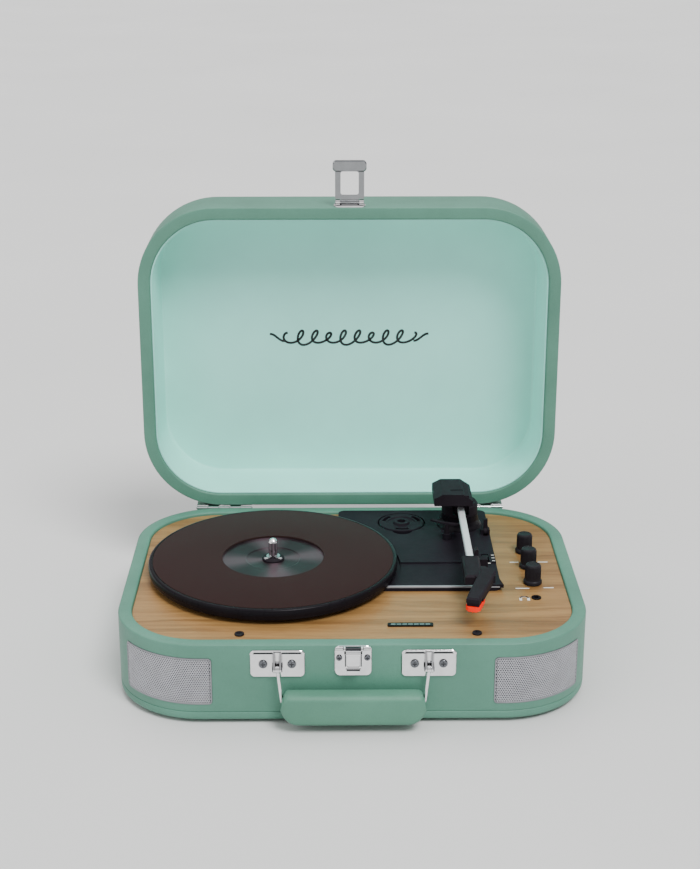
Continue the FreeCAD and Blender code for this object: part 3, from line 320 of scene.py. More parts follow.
# ================================================================ materials
class Finish:
    """A node material that is built up in steps round one principled shader."""

    def __init__(self, name, **sockets):
        self.material = bpy.data.materials.new(name)
        self.material.use_nodes = True
        self.tree = self.material.node_tree
        self.shader = self.tree.nodes["Principled BSDF"]
        self.coordinates = self.tree.nodes.new("ShaderNodeTexCoord")
        for socket, value in sockets.items():
            self.shader.inputs[socket.replace("_", " ")].default_value = value

    def node(self, kind, sources=(), **settings):
        """Adds a node; sources are (socket, value or output) pairs."""
        made = self.tree.nodes.new("ShaderNode" + kind)
        for key, value in settings.items():
            setattr(made, key, value)
        for socket, value in sources:
            if isinstance(value, bpy.types.NodeSocket):
                self.tree.links.new(value, made.inputs[socket])
            else:
                made.inputs[socket].default_value = value
        return made

    def space(self, scale=(1, 1, 1), turn=(0, 0, 0)):
        """Object coordinates in millimetres, stretched by scale."""
        factor = tuple(s / MM for s in scale)
        turned = tuple(math.radians(t) for t in turn)
        return self.node("Mapping", [("Vector", self.coordinates.outputs["Object"]), ("Scale", factor),
                                     ("Rotation", turned)]).outputs["Vector"]

    def noise(self, space, scale, detail=3.0, rough=0.55, distortion=0.0):
        return self.node("TexNoise", [("Vector", space), ("Scale", scale), ("Detail", detail),
                                      ("Roughness", rough), ("Distortion", distortion)]).outputs["Fac"]

    def cells(self, space, scale, feature="F1", spread=1.0):
        return self.node("TexVoronoi", [("Vector", space), ("Scale", scale), ("Randomness", spread)],
                         feature=feature).outputs["Distance"]

    def ramp(self, value, *stops):
        """Colours or greys along a value."""
        made = self.node("ValToRGB", [("Fac", value)])
        elements = made.color_ramp.elements
        while len(elements) < len(stops):
            elements.new(0.5)
        for element, (position, colour) in zip(elements, stops):
            element.position = position
            element.color = (*colour, 1) if len(colour) == 3 else colour
        return made.outputs["Color"]

    def span(self, value, low, high, from_low=0.0, from_high=1.0):
        return self.node("MapRange", [("Value", value), ("From Min", from_low), ("From Max", from_high),
                                      ("To Min", low), ("To Max", high)]).outputs["Result"]

    def mix(self, factor, a, b, blend="MIX"):
        made = self.tree.nodes.new("ShaderNodeMix")
        made.data_type = "RGBA"
        made.blend_type = blend
        for socket, value in ((0, factor), (6, a), (7, b)):
            if isinstance(value, bpy.types.NodeSocket):
                self.tree.links.new(value, made.inputs[socket])
            else:
                made.inputs[socket].default_value = value if socket == 0 else (*value, 1)
        return made.outputs[2]

    def maths(self, operation, a, b=0.0):
        return self.node("Math", [(0, a), (1, b)], operation=operation).outputs[0]

    def link(self, socket, value):
        self.tree.links.new(value, self.shader.inputs[socket])
        return self

    def bump(self, *layers):
        """Stacked bumps: (height, depth in millimetres, strength)."""
        normal = None
        for height, depth, strength in layers:
            sources = [("Height", height), ("Distance", depth * MM), ("Strength", strength)]
            if normal is not None:
                sources.append(("Normal", normal))
            normal = self.node("Bump", sources).outputs["Normal"]
        return self.link("Normal", normal)


def leatherette(name, colour, grain=1.0):
    """Embossed coated cloth: fine pebbled grain, slow shade changes and a soft sheen."""
    f = Finish(name, Roughness=0.5, Specular_IOR_Level=0.42)
    space = f.space()
    dark = tuple(c * 0.88 for c in colour)
    light = tuple(min(1, c * 1.08) for c in colour)
    slow = f.noise(space, 0.02, 4.0)
    pebble = f.cells(space, 1.15, "SMOOTH_F1")
    creases = f.cells(space, 1.15, "DISTANCE_TO_EDGE")
    tone = f.ramp(slow, (0.3, dark), (0.7, light))
    # Painted shade: the creases between the pebbles are darkened in the colour.
    crease_shade = f.ramp(creases, (0.0, (0.86, 0.86, 0.86)), (0.12, (1, 1, 1)))
    f.link("Base Color", f.mix(1.0, tone, crease_shade, "MULTIPLY"))
    f.link("Roughness", f.span(f.noise(space, 0.35, 4.0), 0.42, 0.6))
    fine = f.noise(space, 3.2, 3.0)
    f.bump((pebble, 0.10 * grain, 0.5), (fine, 0.04 * grain, 0.35))
    return f.material


def lining_paper(name, colour):
    """Smooth lining: faint fibre and a very slow unevenness."""
    f = Finish(name, Roughness=0.62, Specular_IOR_Level=0.35)
    space = f.space()
    low, high = tuple(c * 0.95 for c in colour), tuple(min(1, c * 1.04) for c in colour)
    f.link("Base Color", f.ramp(f.noise(space, 0.012, 3.0), (0.3, low), (0.7, high)))
    f.link("Roughness", f.span(f.noise(space, 0.5, 3.0), 0.55, 0.7))
    f.bump((f.noise(space, 1.6, 4.0), 0.03, 0.3), (f.noise(space, 0.03, 2.0), 0.6, 0.15))
    return f.material


WOOD_DARK, WOOD_MID, WOOD_LIGHT = (0.150, 0.070, 0.019), (0.270, 0.140, 0.043), (0.37, 0.206, 0.070)


def oak(name):
    """Light veneer with its grain along X: broad bands, fine streaks and short pores."""
    f = Finish(name, Roughness=0.42, Specular_IOR_Level=0.45, Coat_Weight=0.18, Coat_Roughness=0.28)
    warp = f.noise(f.space((0.004, 0.02, 0.02)), 1.0, 3.0)
    sway = f.node("CombineXYZ", [("Y", f.span(warp, -1.6, 1.6))]).outputs[0]
    long_grain = f.space((0.0035, 0.085, 0.085))
    offset = f.node("VectorMath", [(0, long_grain), (1, sway)], operation="ADD").outputs[0]
    bands = f.noise(offset, 1.0, 5.0, 0.62)
    streaks = f.noise(f.space((0.012, 0.9, 0.9)), 1.0, 4.0, 0.65)
    pores = f.noise(f.space((0.09, 3.2, 3.2)), 1.0, 2.0, 0.5)
    tone = f.ramp(bands, (0.28, WOOD_DARK), (0.45, WOOD_MID), (0.58, WOOD_LIGHT), (0.75, WOOD_MID))
    streak_shade = f.ramp(streaks, (0.3, (0.72, 0.68, 0.62)), (0.55, (1, 1, 1)))
    pore_shade = f.ramp(pores, (0.34, (0.62, 0.55, 0.46)), (0.44, (1, 1, 1)))
    shaded = f.mix(0.75, tone, streak_shade, "MULTIPLY")
    f.link("Base Color", f.mix(0.55, shaded, pore_shade, "MULTIPLY"))
    f.link("Roughness", f.span(streaks, 0.36, 0.52))
    f.bump((streaks, 0.05, 0.25), (pores, 0.04, 0.3))
    return f.material


def moulded(name, colour, rough=0.42, texture=1.0, **sockets):
    """Moulded plastic with a fine spark-eroded texture and faint handling marks."""
    f = Finish(name, Roughness=rough, **sockets)
    space = f.space()
    low, high = tuple(c * 0.85 for c in colour), tuple(c * 1.12 for c in colour)
    f.link("Base Color", f.ramp(f.noise(space, 0.05, 3.0), (0.3, low), (0.7, high)))
    marks = f.noise(space, 0.22, 5.0, 0.6)
    f.link("Roughness", f.span(marks, rough - 0.07, rough + 0.09))
    f.bump((f.noise(space, 6.0, 2.0), 0.02 * texture, 0.5))
    return f.material


def bright_metal(name, colour, rough=0.09, brushed=0.0, wear=0.08, metallic=1.0, crevice_shade=0.0):
    """Plated or brushed metal with slight smears in its gloss, and painted shade that makes it darker
    where it meets its neighbours.
    """
    f = Finish(name, Roughness=rough, Metallic=metallic)
    space = f.space()
    low = tuple(c * 0.9 for c in colour)
    tone = f.ramp(f.noise(space, 0.12, 4.0), (0.35, low), (0.6, colour))
    if crevice_shade:
        # Painted shade: ambient occlusion darkens the base colour in crevices and where parts meet.
        open_sky = f.node("AmbientOcclusion", [("Distance", crevice_shade * MM)]).outputs["AO"]
        shadow = f.ramp(open_sky, (0.25, (0.03, 0.03, 0.035)), (0.85, (1, 1, 1)))
        tone = f.mix(1.0, tone, shadow, "MULTIPLY")
    f.link("Base Color", tone)
    smear = f.noise(space, 0.3, 5.0, 0.6)
    f.link("Roughness", f.span(smear, rough, rough + wear))
    layers = [(f.noise(space, 0.6, 2.0), 0.02, 0.2)]
    if brushed:
        layers.append((f.noise(f.space((0.05, 5.0, 5.0)), 1.0, 3.0), 0.02 * brushed, 0.4))
    return f.bump(*layers).material


def felt(name, colour):
    """Short dense felt: fibre speckle, slow patches and a soft edge sheen."""
    f = Finish(name, Roughness=0.92, Specular_IOR_Level=0.2, Sheen_Weight=0.05, Sheen_Roughness=0.6,
               Sheen_Tint=(0.75, 0.68, 0.66, 1))
    space = f.space()
    low, high = tuple(c * 0.72 for c in colour), tuple(c * 1.3 for c in colour)
    fibre = f.noise(space, 2.4, 5.0, 0.7)
    slow = f.noise(space, 0.03, 3.0)
    tone = f.ramp(fibre, (0.32, low), (0.68, high))
    patches = f.ramp(slow, (0.3, (0.85,) * 3), (0.7, (1, 1, 1)))
    f.link("Base Color", f.mix(0.5, tone, patches, "MULTIPLY"))
    f.bump((fibre, 0.22, 0.6), (f.noise(space, 7.0, 2.0), 0.1, 0.5))
    return f.material


def spun_metal(name, colour, centre, rough=0.3):
    """Dark turned metal: fine rings about a centre, and crossed fans of painted sheen, light and dark,
    standing in for the light that the rings would show.
    """
    f = Finish(name, Roughness=rough, Metallic=0.1, Specular_IOR_Level=0.08)
    middle = (centre.x * MM, centre.y * MM, 0)
    moved = f.node("VectorMath", [(0, f.coordinates.outputs["Object"]), (1, middle)],
                   operation="SUBTRACT").outputs[0]
    flat = f.node("VectorMath", [(0, moved), (1, (1, 1, 0))], operation="MULTIPLY").outputs[0]
    radius = f.node("VectorMath", [(0, flat)], operation="LENGTH").outputs["Value"]
    outward = f.node("CombineXYZ", [("X", f.maths("MULTIPLY", radius, 1 / MM))]).outputs[0]
    rings = f.noise(outward, 2.2, 3.0)
    parts = f.node("SeparateXYZ", [(0, flat)]).outputs
    # Painted sheen: a wave round the centre lightens and darkens the colour in crossed fans.
    turn = f.maths("ARCTAN2", parts["Y"], parts["X"])
    sheen_wave = f.maths("SINE", f.maths("ADD", f.maths("MULTIPLY", turn, 4.0), 0.9))
    low = tuple(c * 0.8 for c in colour)
    tone = f.ramp(rings, (0.3, low), (0.7, colour))
    sheen_level = f.span(sheen_wave, 0.0, 1.0, -1.0, 1.0)
    painted_sheen = f.ramp(sheen_level, (0.2, (0.45,) * 3), (0.62, (1.0,) * 3), (0.95, (1.9,) * 3))
    f.link("Base Color", f.mix(1.0, tone, painted_sheen, "MULTIPLY"))
    f.link("Roughness", f.span(rings, rough - 0.06, rough + 0.08))
    f.bump((rings, 0.03, 0.4))
    return f.material


def plain_floor(name):
    """Pale floor with a very slow unevenness."""
    f = Finish(name, Roughness=0.85, Specular_IOR_Level=0.2)
    slow = f.noise(f.space(), 0.002, 2.0)
    f.link("Base Color", f.ramp(slow, (0.3, (0.70, 0.70, 0.69)), (0.7, (0.73, 0.73, 0.72))))
    return f.material


MINT = leatherette("mint_leatherette", (0.094, 0.255, 0.183))
MINT_GRIP = leatherette("mint_grip_leatherette", (0.090, 0.248, 0.170), 0.7)
LINING = lining_paper("aqua_lining", (0.400, 0.89, 0.79))
OAK = oak("light_oak_veneer")
BLACK = moulded("satin_black_plastic", (0.0155, 0.0122, 0.0162), 0.55, Specular_IOR_Level=0.07)
DECK_BLACK = moulded("deck_black_plastic", (0.0145, 0.0120, 0.0168), 0.5, Specular_IOR_Level=0.06)
# Painted highlight: light grey plastic for the strip that stands in for the glint on the deck's front
# lip.
LIP_GLINT = moulded("lip_glint_plastic", (0.27, 0.28, 0.30), 0.22, 0.2)
# Painted highlight: pale plastic for the hub pads that stand in for highlights.
HUB_HIGHLIGHT_PLASTIC = moulded("hub_highlight_plastic", (0.42, 0.42, 0.43), 0.4)
GLOSS_BLACK = moulded("gloss_black_plastic", (0.0078, 0.0065, 0.0088), 0.28, 0.3,
                      Specular_IOR_Level=0.09)
KNOB_BLACK = moulded("knob_black_plastic", (0.0135, 0.0120, 0.0155), 0.42, Specular_IOR_Level=0.16)
# The chrome gets painted shade where it meets neighbouring parts.
CHROME = bright_metal("bright_chrome", (0.88, 0.88, 0.89), 0.05, crevice_shade=2.2)
# Painted shade and reflection: dark chrome for the strips that stand in for the fold's reflection and
# the latch's shaded seams.
SHADE_CHROME = bright_metal("painted_shade_chrome", (0.045, 0.047, 0.05), 0.2)
# Painted reflection: the screws' chrome is darkened to stand in for the dark reflections on their
# heads.
SCREW_REFLECTION_CHROME = bright_metal("screw_dark_reflection_chrome", (0.15, 0.155, 0.17), 0.14, crevice_shade=1.6)
# Painted reflection: the hasp's chrome is darkened to stand in for its dark reflections.
HASP_REFLECTION_CHROME = bright_metal("hasp_dark_reflection_chrome", (0.30, 0.31, 0.32), 0.14, crevice_shade=1.5)
STEEL = bright_metal("plain_steel", (0.55, 0.55, 0.57), 0.28, 1.0)
ARM_METAL = bright_metal("arm_tube_metal", (0.90, 0.90, 0.93), 0.42, 1.0, metallic=0.35)
GRILLE_METAL = bright_metal("grille_steel", (0.54, 0.54, 0.58), 0.36, 0.0, 0.12, 0.8)
# Painted shade: a darker copy of the grille steel for its folded edge.
GRILLE_EDGE_SHADE = bright_metal("grille_edge_shaded", (0.30, 0.31, 0.33), 0.36, 0.0, 0.12, 0.8)
BRASS = bright_metal("plain_brass", (0.78, 0.58, 0.28), 0.22)
FELT = felt("brown_felt", (0.020, 0.0068, 0.0064))
LABEL_METAL = spun_metal("label_metal", (0.047, 0.031, 0.038), SPINDLE)
RUBBER = moulded("black_rubber", (0.012, 0.012, 0.013), 0.75, 2.0)
# Painted glow: the stylus plastic emits a faint red light of its own.
STYLUS_GLOW = moulded("stylus_red_glow_plastic", (0.95, 0.016, 0.002), 0.6, 0.4, Specular_IOR_Level=0.05,
              Emission_Strength=0.22, Emission_Color=(1.0, 0.030, 0.002, 1))
WHITE_INK = moulded("white_ink", (0.85, 0.84, 0.80), 0.5, 0.2)
GREY_INK = moulded("grey_ink", (0.035, 0.045, 0.045), 0.5, 0.2)
CLOTH = moulded("black_speaker_cloth", (0.008, 0.008, 0.009), 0.9, 3.0)
BOARD = moulded("green_board", (0.02, 0.14, 0.06), 0.35)
PLAIN_WOOD = moulded("plain_wood", (0.42, 0.28, 0.15), 0.7, 2.0)


# ================================================================ lower case
def fillet(inset, z, r, start, end, steps=4):
    """Arc of (inset, z) points round a centre."""
    return arc(inset, z, r, start, end, steps)


GRILLE_X, GRILLE_END = -102.8, 212.0
GRILLE_Z0, GRILLE_Z1 = 16.2, 54.0
ARC_X, ARC_Y = -CASE_W / 2 + CORNER_R, FRONT + CORNER_R
STRAIGHT = GRILLE_X - ARC_X
GRILLE_LENGTH = STRAIGHT + math.radians(270.0 - GRILLE_END) * CORNER_R


def wrap(u, z, out):
    """Point on the left front corner, u along the wall from the grille's inner end."""
    if u <= STRAIGHT:
        return (GRILLE_X - u, FRONT - out, z)
    a = math.radians(270.0) - (u - STRAIGHT) / CORNER_R
    r = CORNER_R + out
    return (ARC_X + r * math.cos(a), ARC_Y + r * math.sin(a), z)


def wrapped_patch(name, margin, out0, out1, corner=3.0, steps=60):
    """A closed slab that follows the corner, with round ends, between two distances from the wall."""
    u0, u1, z0, z1 = margin, GRILLE_LENGTH - margin, GRILLE_Z0 + margin, GRILLE_Z1 - margin
    columns, verts, faces = [], [], []
    for i in range(steps + 1):
        u = u0 + (u1 - u0) * (1 - math.cos(math.pi * i / steps)) / 2
        past = max(0.0, corner - min(u - u0, u1 - u))
        cut = corner - math.sqrt(max(0.0, corner ** 2 - past ** 2))
        columns.append((u, z0 + cut, z1 - cut))
    for u, low, high in columns:
        verts += [wrap(u, low, out0), wrap(u, high, out0), wrap(u, high, out1), wrap(u, low, out1)]
    for i in range(steps):
        a, b = 4 * i, 4 * (i + 1)
        faces += [(a + j, a + (j + 1) % 4, b + (j + 1) % 4, b + j) for j in range(4)]
    faces += [(0, 1, 2, 3), tuple(4 * steps + j for j in range(4))]
    return build(name, verts, faces, 20.0)


def case_wall():
    top, inner = CASE_TOP, WALL
    profile = [(inner, PANEL_TOP - 5)] + fillet(inner - 1.5, top - 1.5, 1.5, 0, 90)
    profile += fillet(RIM_R, top - RIM_R, RIM_R, 90, 180) + fillet(0.8, CASE_Z0 + 0.8, 0.8, 180, 270, 3)
    profile.append((inner, CASE_Z0))
    wall = case_loft("case_wall", profile, closed=True)
    low, high = box_mm("rear_socket_plate")
    left = wrapped_patch("cut_left", 0.0, -0.8, 4.0)
    right = mirror_x(wrapped_patch("cut_right", 0.0, -0.8, 4.0))
    rear = block("cut_rear", low.x - 0.2, high.x + 0.2, BACK - 1.6, BACK + 2, low.z - 0.2, high.z + 0.2)
    carve(wall, left, right, rear)
    place(wall, "base", "leatherette", MINT, "base_shell")
    low, high = box_mm("bottom_panel")
    r, e = 3.0, 0.8
    profile = [(40, low.z)] + fillet(r, low.z + r, r, 270, 180, 5)
    profile += fillet(e, high.z - e, e, 180, 90, 3) + [(40, high.z)]
    place(case_loft("bottom_board", profile), "base", "leatherette", MINT, "bottom_panel")


def perforated_sheet(name, pitch=1.7, hole=0.56, sides=12):
    """Sheet of hexagonal cells, each with a round hole, wrapped round the corner."""
    rise = pitch * math.sqrt(3) / 2
    margin, thick, out = 0.9, 0.7, 0.30
    verts, faces = [], []
    rows = int((GRILLE_Z1 - GRILLE_Z0 - 2 * margin) / rise)
    columns = int((GRILLE_LENGTH - 2 * margin) / pitch)
    u_start = (GRILLE_LENGTH - (columns - 1) * pitch) / 2
    z_start = (GRILLE_Z0 + GRILLE_Z1 - (rows - 1) * rise) / 2
    reach = pitch / math.sqrt(3)
    for row in range(rows):
        odd = row % 2
        for column in range(columns - odd):
            u, z = u_start + (column + odd / 2) * pitch, z_start + row * rise
            base = len(verts)
            for i in range(sides):
                a = math.pi / 6 + TAU * i / sides
                far = reach if i % 2 == 0 else reach * math.cos(math.pi / 6)
                c, s = math.cos(a), math.sin(a)
                verts += [wrap(u + far * c, z + far * s, out),
                          wrap(u + hole * c, z + hole * s, out - 0.06),
                          wrap(u + hole * c, z + hole * s, out - thick)]
            for i in range(sides):
                a, b = base + 3 * i, base + 3 * ((i + 1) % sides)
                faces += [(a, b, b + 1, a + 1), (a + 1, b + 1, b + 2, a + 2)]
    return build(name, verts, faces, 40.0)


def grille_rim(name, width=1.0, steps=9):
    """Folded edge of the grille: a thin half-round band that follows its outline."""
    u1, r = GRILLE_LENGTH - 0.2, 3.0
    path = []
    for x, y in rounded_rect(u1 - 0.2, GRILLE_Z1 - GRILLE_Z0 - 0.4, r, GRILLE_LENGTH / 2,
                             (GRILLE_Z0 + GRILLE_Z1) / 2, steps):
        path.append((x, y))
    dense = []
    for a, b in zip(path, path[1:] + path[:1]):
        a, b = Vector(a), Vector(b)
        parts = max(1, int((b - a).length / 2.0))
        dense += [a.lerp(b, i / parts) for i in range(parts)]
    n, rings = len(dense), []
    section = [(0.0, -0.5), (0.0, 0.36), (0.2, 0.5), (width - 0.25, 0.5), (width, 0.36), (width, -0.3)]
    for across, out in section:
        ring = []
        for i, p in enumerate(dense):
            along = (dense[(i + 1) % n] - dense[i - 1]).normalized()
            inward = Vector((-along.y, along.x))
            q = p + inward * across
            ring.append(wrap(q.x, q.y, out))
        rings.append(ring)
    return loft(name, rings, closed=True, angle=50.0)


def grilles():
    for side in ("left", "right"):
        cloth = wrapped_patch("grille_cloth_" + side, 0.3, -0.78, -0.55)
        sheet = perforated_sheet("grille_sheet_" + side)
        rim = grille_rim("grille_rim_" + side)
        if side == "right":
            for piece in (cloth, sheet, rim):
                mirror_x(piece)
        place(cloth, "base", "cone_paper", CLOTH)
        place(sheet, "base", "grille_metal", GRILLE_METAL, "speaker_grille_" + side)
        place(rim, "base", "grille_metal", GRILLE_EDGE_SHADE)


# ================================================================ top panel
def knobs():
    ribs = 36
    for name in ("volume_knob", "source_knob", "mode_knob"):
        low, high = box_mm(name)
        x, y, top = (low.x + high.x) / 2, (low.y + high.y) / 2, high.z
        base = PANEL_TOP + 0.5

        def ribbed(r, z, a, base=base, top=top):
            grip = min(max((z - base - 4.2) / 0.6, 0), 1) * min(max((top - 1.2 - z) / 0.5, 0), 1)
            return r + 0.16 * grip * math.cos(ribs * a)
        profile = [(0, base), (7.1, base), (7.3, base + 0.25), (7.3, base + 2.2), (7.0, base + 2.8),
                   (6.5, base + 3.2), (6.3, base + 4.0), (6.25, base + 4.9), (6.2, base + 9),
                   (6.15, top - 1.8), (6.0, top - 1.1),
                   (5.6, top - 0.4), (4.9, top - 0.05), (4.4, top), (4.1, top - 0.25), (0, top - 0.3)]
        knob = lathe(name + "_cap", profile, (x, y), ribs * 6, ribbed)
        place(knob, name, "knob_black", KNOB_BLACK, name)
        mark = block(name + "_pointer", x - 0.4, x + 0.4, y + 2.0, y + 5.6, top - 0.35, top - 0.05, 0.1)
        place(mark, name, "knob_black", RUBBER)


KNOB_BARS = ((128.8, 135.2, 18.2), (151.6, 158.8, 18.4), (128.4, 138.4, -31.6), (150.4, 157.6, -30.6))


def panel_marks():
    """Generic marks: short bars by the knobs and a headphone symbol."""
    z = PANEL_TOP
    bars = [[(x0, y), (x1, y)] for x0, x1, y in KNOB_BARS]
    place(flat_marks("panel_bars", bars, z, 1.15, 0.12), "base", "oak_panel", WHITE_INK)
    cx, cy = 132.9, -49.6
    band = arc(cx, cy, 3.0, 0, 180, 14)
    cups = [[(cx + s * 3.0, cy + 0.2), (cx + s * 3.0, cy - 3.4)] for s in (-1, 1)]
    icon = flat_marks("headphone_mark", [band], z, 1.4, 0.3)
    pads = flat_marks("headphone_mark_cups", cups, z, 2.0, 0.3)
    place(join("headphone_symbol", [icon, pads]), "base", "oak_panel", WHITE_INK)


def top_panel():
    dress(OAK, "wood_top_panel")
    dress(KNOB_BLACK, "panel_screws")
    dress(PLAIN_WOOD, "panel_cleats")
    dress(GLOSS_BLACK, "headphone_socket", "badge_plate", soften=0.25)
    badge_dashes()
    knobs()
    panel_marks()


def badge_dashes():
    """A row of plain dashes on the badge."""
    low, high = box_mm("badge_plate")
    x0, step, y = low.x + 2.0, (high.x - low.x - 4.0) / 7, (low.y + high.y) / 2
    dashes = [block("dash%d" % i, x0 + i * step + 0.4, x0 + (i + 1) * step - 0.4, y - 0.9, y + 0.5,
                    high.z - 0.2, high.z + 0.05) for i in range(7)]
    place(join("badge_dashes", dashes), "base", "gloss_black", STEEL)


def platter():
    x, y = SPINDLE.x, SPINDLE.y
    top, edge, r = PLATTER_TOP, PLATTER_LOW + 0.8, PLATTER_R
    under = top - 3.4
    skirt = [(96.0, top - 1.2), (96.0, top - 0.15), (96.2, top), (r - 1.9, top), (r - 1.0, top - 0.25),
             (r - 0.35, top - 0.85), (r, top - 1.7), (r, top - 5.6), (r - 0.25, top - 6.0),
             (r - 0.25, edge + 0.6), (r - 0.6, edge), (r - 2.2, edge), (r - 2.2, under), (60, under),
             (60, PLATTER_LOW), (57.6, PLATTER_LOW), (57.6, under), (9, under), (9, top - 2.2)]
    well = [(9, top - 2.2), (20.6, top - 2.2), (21.0, top - 2.1), (21.6, top - 1.65), (22.0, top - 1.6),
            (40.3, top - 1.6), (40.3, top - 1.2), (96.0, top - 1.2)]
    place(lathe("platter_body", skirt, (x, y), 256), "platter", "gloss_black", GLOSS_BLACK, "platter")
    place(lathe("label_recess", well, (x, y), 192), "platter", "gloss_black", LABEL_METAL)
    mat = [(40.4, top - 1.15), (40.4, top + 0.1), (40.7, top + 0.3), (95.1, top + 0.3),
           (95.6, top + 0.05), (95.6, top - 1.15)]
    felt_mat = lathe("felt_mat", mat, (x, y), 256)
    place(felt_mat, "platter", "mat_felt", FELT, "slip_mat")
    dress(BLACK, "platter_bush", soften=0.15)
    dress(CHROME, "record_spindle")
    dress(STEEL, "spindle_clip", soften=0.08)
    # Painted highlight: three pale pads on the hub, where its tabs show white highlights.
    pads = []
    for i in range(3):
        a = 90 + 120 * i
        glint_pad = block("pad%d" % i, x + 5.0, x + 7.8, y - 1.35, y + 1.35, top - 0.9, top - 0.05, 0.25)
        pads.append(transform(glint_pad, about((x, y, 0), a, "Z")))
    place(join("hub_glint_pads", pads), "platter", "black_plastic", HUB_HIGHLIGHT_PLASTIC)


def hidden_parts():
    dress(STEEL, "motor_housing", "potentiometers", "speaker_baskets", "foot_screws", "arm_weight",
          "arm_pivot_pins")
    dress(BRASS, "motor_pulley", "rear_sockets", soften=0.15)
    dress(RUBBER, "drive_belt", "rubber_feet")
    dress(CLOTH, "speaker_cones")
    dress(BOARD, "main_board")
    dress(BLACK, "rear_socket_plate", "speed_switch", soften=0.2)


# ================================================================ deck and arm
def deck_and_arm():
    dress(DECK_BLACK, "mechanism_chassis", soften=0.35)
    dress(BLACK, "arm_yoke", "arm_rest", "cue_lever", "cue_lift_bar", "cartridge", soften=0.3)
    dress(BLACK, "arm_rear_block", "head_shell", soften=0.35)
    dress(GLOSS_BLACK, "arm_turret", "speed_slider", soften=0.3)
    dress(DECK_BLACK, "adapter_45", soften=0.2)
    dress(STYLUS_GLOW, "stylus", soften=0.15)
    dress(ARM_METAL, "arm_tube")
    deck_edge_glint()
    speed_marks()


def deck_edge_glint():
    """Painted highlight: a light grey glossy strip along the deck's front edge, standing in for the
    glint on its lip.
    """
    top = DECK_TOP - DECK_STEP
    highlight_strip = slab("deck_lip_glint", [(DECK_LOW.x + 26, DECK_LOW.y + 0.3), (DECK_HIGH.x - 1.0, DECK_LOW.y + 0.3),
                            (DECK_HIGH.x - 1.0, DECK_LOW.y + 2.6), (DECK_LOW.x + 26, DECK_LOW.y + 2.6)],
               top - 1.2, top + 0.45, 0.5, 3)
    place(highlight_strip, "base", "black_plastic", LIP_GLINT)


def speed_marks():
    """White ticks beside the speed switch: three for its positions and two below it."""
    low, high = box_mm("speed_slider")
    x, y = high.x + 3.0, (low.y + high.y) / 2
    ticks = [[(x, y + t), (x + 1.8, y + t)] for t in (5.5, 0.0, -5.5)]
    ticks += [[(low.x + t, y - 10.4), (low.x + t + 2.0, y - 10.4)] for t in (-0.6, 3.4)]
    place(flat_marks("speed_ticks", ticks, DECK_TOP, 0.9, 0.1), "base", "black_plastic", WHITE_INK)


# ================================================================ hardware
HANDLE_PLATE_X = 55.0


def hardware():
    dress(CHROME, "handle_brackets", "latch_plate", "latch_tongue", "hasp_plate", soften=0.3)
    dress(CHROME, "handle_wire", "hasp_pin", soften=0.12)
    dress(SCREW_REFLECTION_CHROME, "hardware_pins", "case_screws", "lid_screws", soften=0.12)
    dress(CHROME, "hinge_base_leaves", "hinge_lid_leaves", "hinge_pins", soften=0.15)
    dress(HASP_REFLECTION_CHROME, "hasp", soften=0.4)
    handle_plate_fold_reflections()
    latch_seam_shade()


def handle_plate_fold_reflections():
    """Painted reflection: a dark chrome strip under the top edge of each handle plate, on both sides of
    its straps, standing in for the dark reflection of its fold.
    """
    for side, s in (("left", -1), ("right", 1)):
        x = s * HANDLE_PLATE_X
        for part, a, b in (("outer", x - 17.2, x - 3.4), ("inner", x + 3.4, x + 17.2)):
            name = "fold_%s_%s" % (side, part)
            reflection_strip = block(name, a, b, FRONT - 1.32, FRONT - 0.9, 57.7, 59.2, 0.12)
            place(reflection_strip, "base", "chrome", SHADE_CHROME)


def latch_seam_shade():
    """Painted shade: dark strips along the seams round the latch tongue's pressed panel, and a dark
    copy of its barrel, standing in for the shade they show.
    """
    shaded_barrel = rod("tongue_barrel_shade", (-5.35, FRONT - 2.9, 62.2), (5.35, FRONT - 2.9, 62.2), 1.78)
    shade_strips = [shaded_barrel]
    for s in (-1, 1):
        x0, x1 = sorted((s * 5.3, s * 6.1))
        shade_strips.append(block("tongue_seam%d" % s, x0, x1, FRONT - 5.55, FRONT - 5.2, 49.6, 59.4, 0.1))
    shade_strips.append(block("tongue_seam_low", -4.9, 4.9, FRONT - 6.32, FRONT - 6.0, 46.4, 47.7, 0.1))
    place(join("tongue_seams", shade_strips), "latch_tongue", "chrome", SHADE_CHROME)


def grip():
    """Padded grip: nearly square above, wide round corners below, with pinched ends."""
    w, t, h = (GRIP_HIGH - GRIP_LOW)
    cx, cy, cz = (GRIP_HIGH + GRIP_LOW) / 2
    low_r, high_r, lean, edge, steps = 13.5, 4.0, 1.8, 4.2, 72
    foot = w / 2
    shoulder = GRIP_LOW.z + low_r
    rings = []
    for i in range(steps + 1):
        x = foot * math.sin(math.pi / 2 * (-1 + 2 * i / steps))
        reach = min(1.0, max(0.0, abs(x) - (foot - low_r)) / low_r)
        low = GRIP_LOW.z + low_r * (1 - math.sqrt(1 - reach ** 2))
        slant = min(1.0, max(0.0, foot - abs(x)) / lean)
        corner = min(1.0, max(0.0, abs(x) - (foot - lean - high_r)) / high_r)
        drop = high_r * (1 - math.sqrt(1 - corner ** 2)) if slant >= 1.0 else high_r
        high = min(shoulder + (GRIP_HIGH.z - shoulder) * slant, GRIP_HIGH.z - drop)
        high = max(high, low + 0.6)
        thick = t * (1 - 0.30 * reach ** 4)
        r = min(edge, (high - low) * 0.45, thick * 0.45)
        section = rounded_rect(thick, high - low, r, cy, (high + low) / 2, 8)
        rings.append([(cx + x, y, z) for y, z in section])
    body = loft("grip_pad", rings)
    place(body, "handle", "leatherette", MINT_GRIP, "handle_grip")


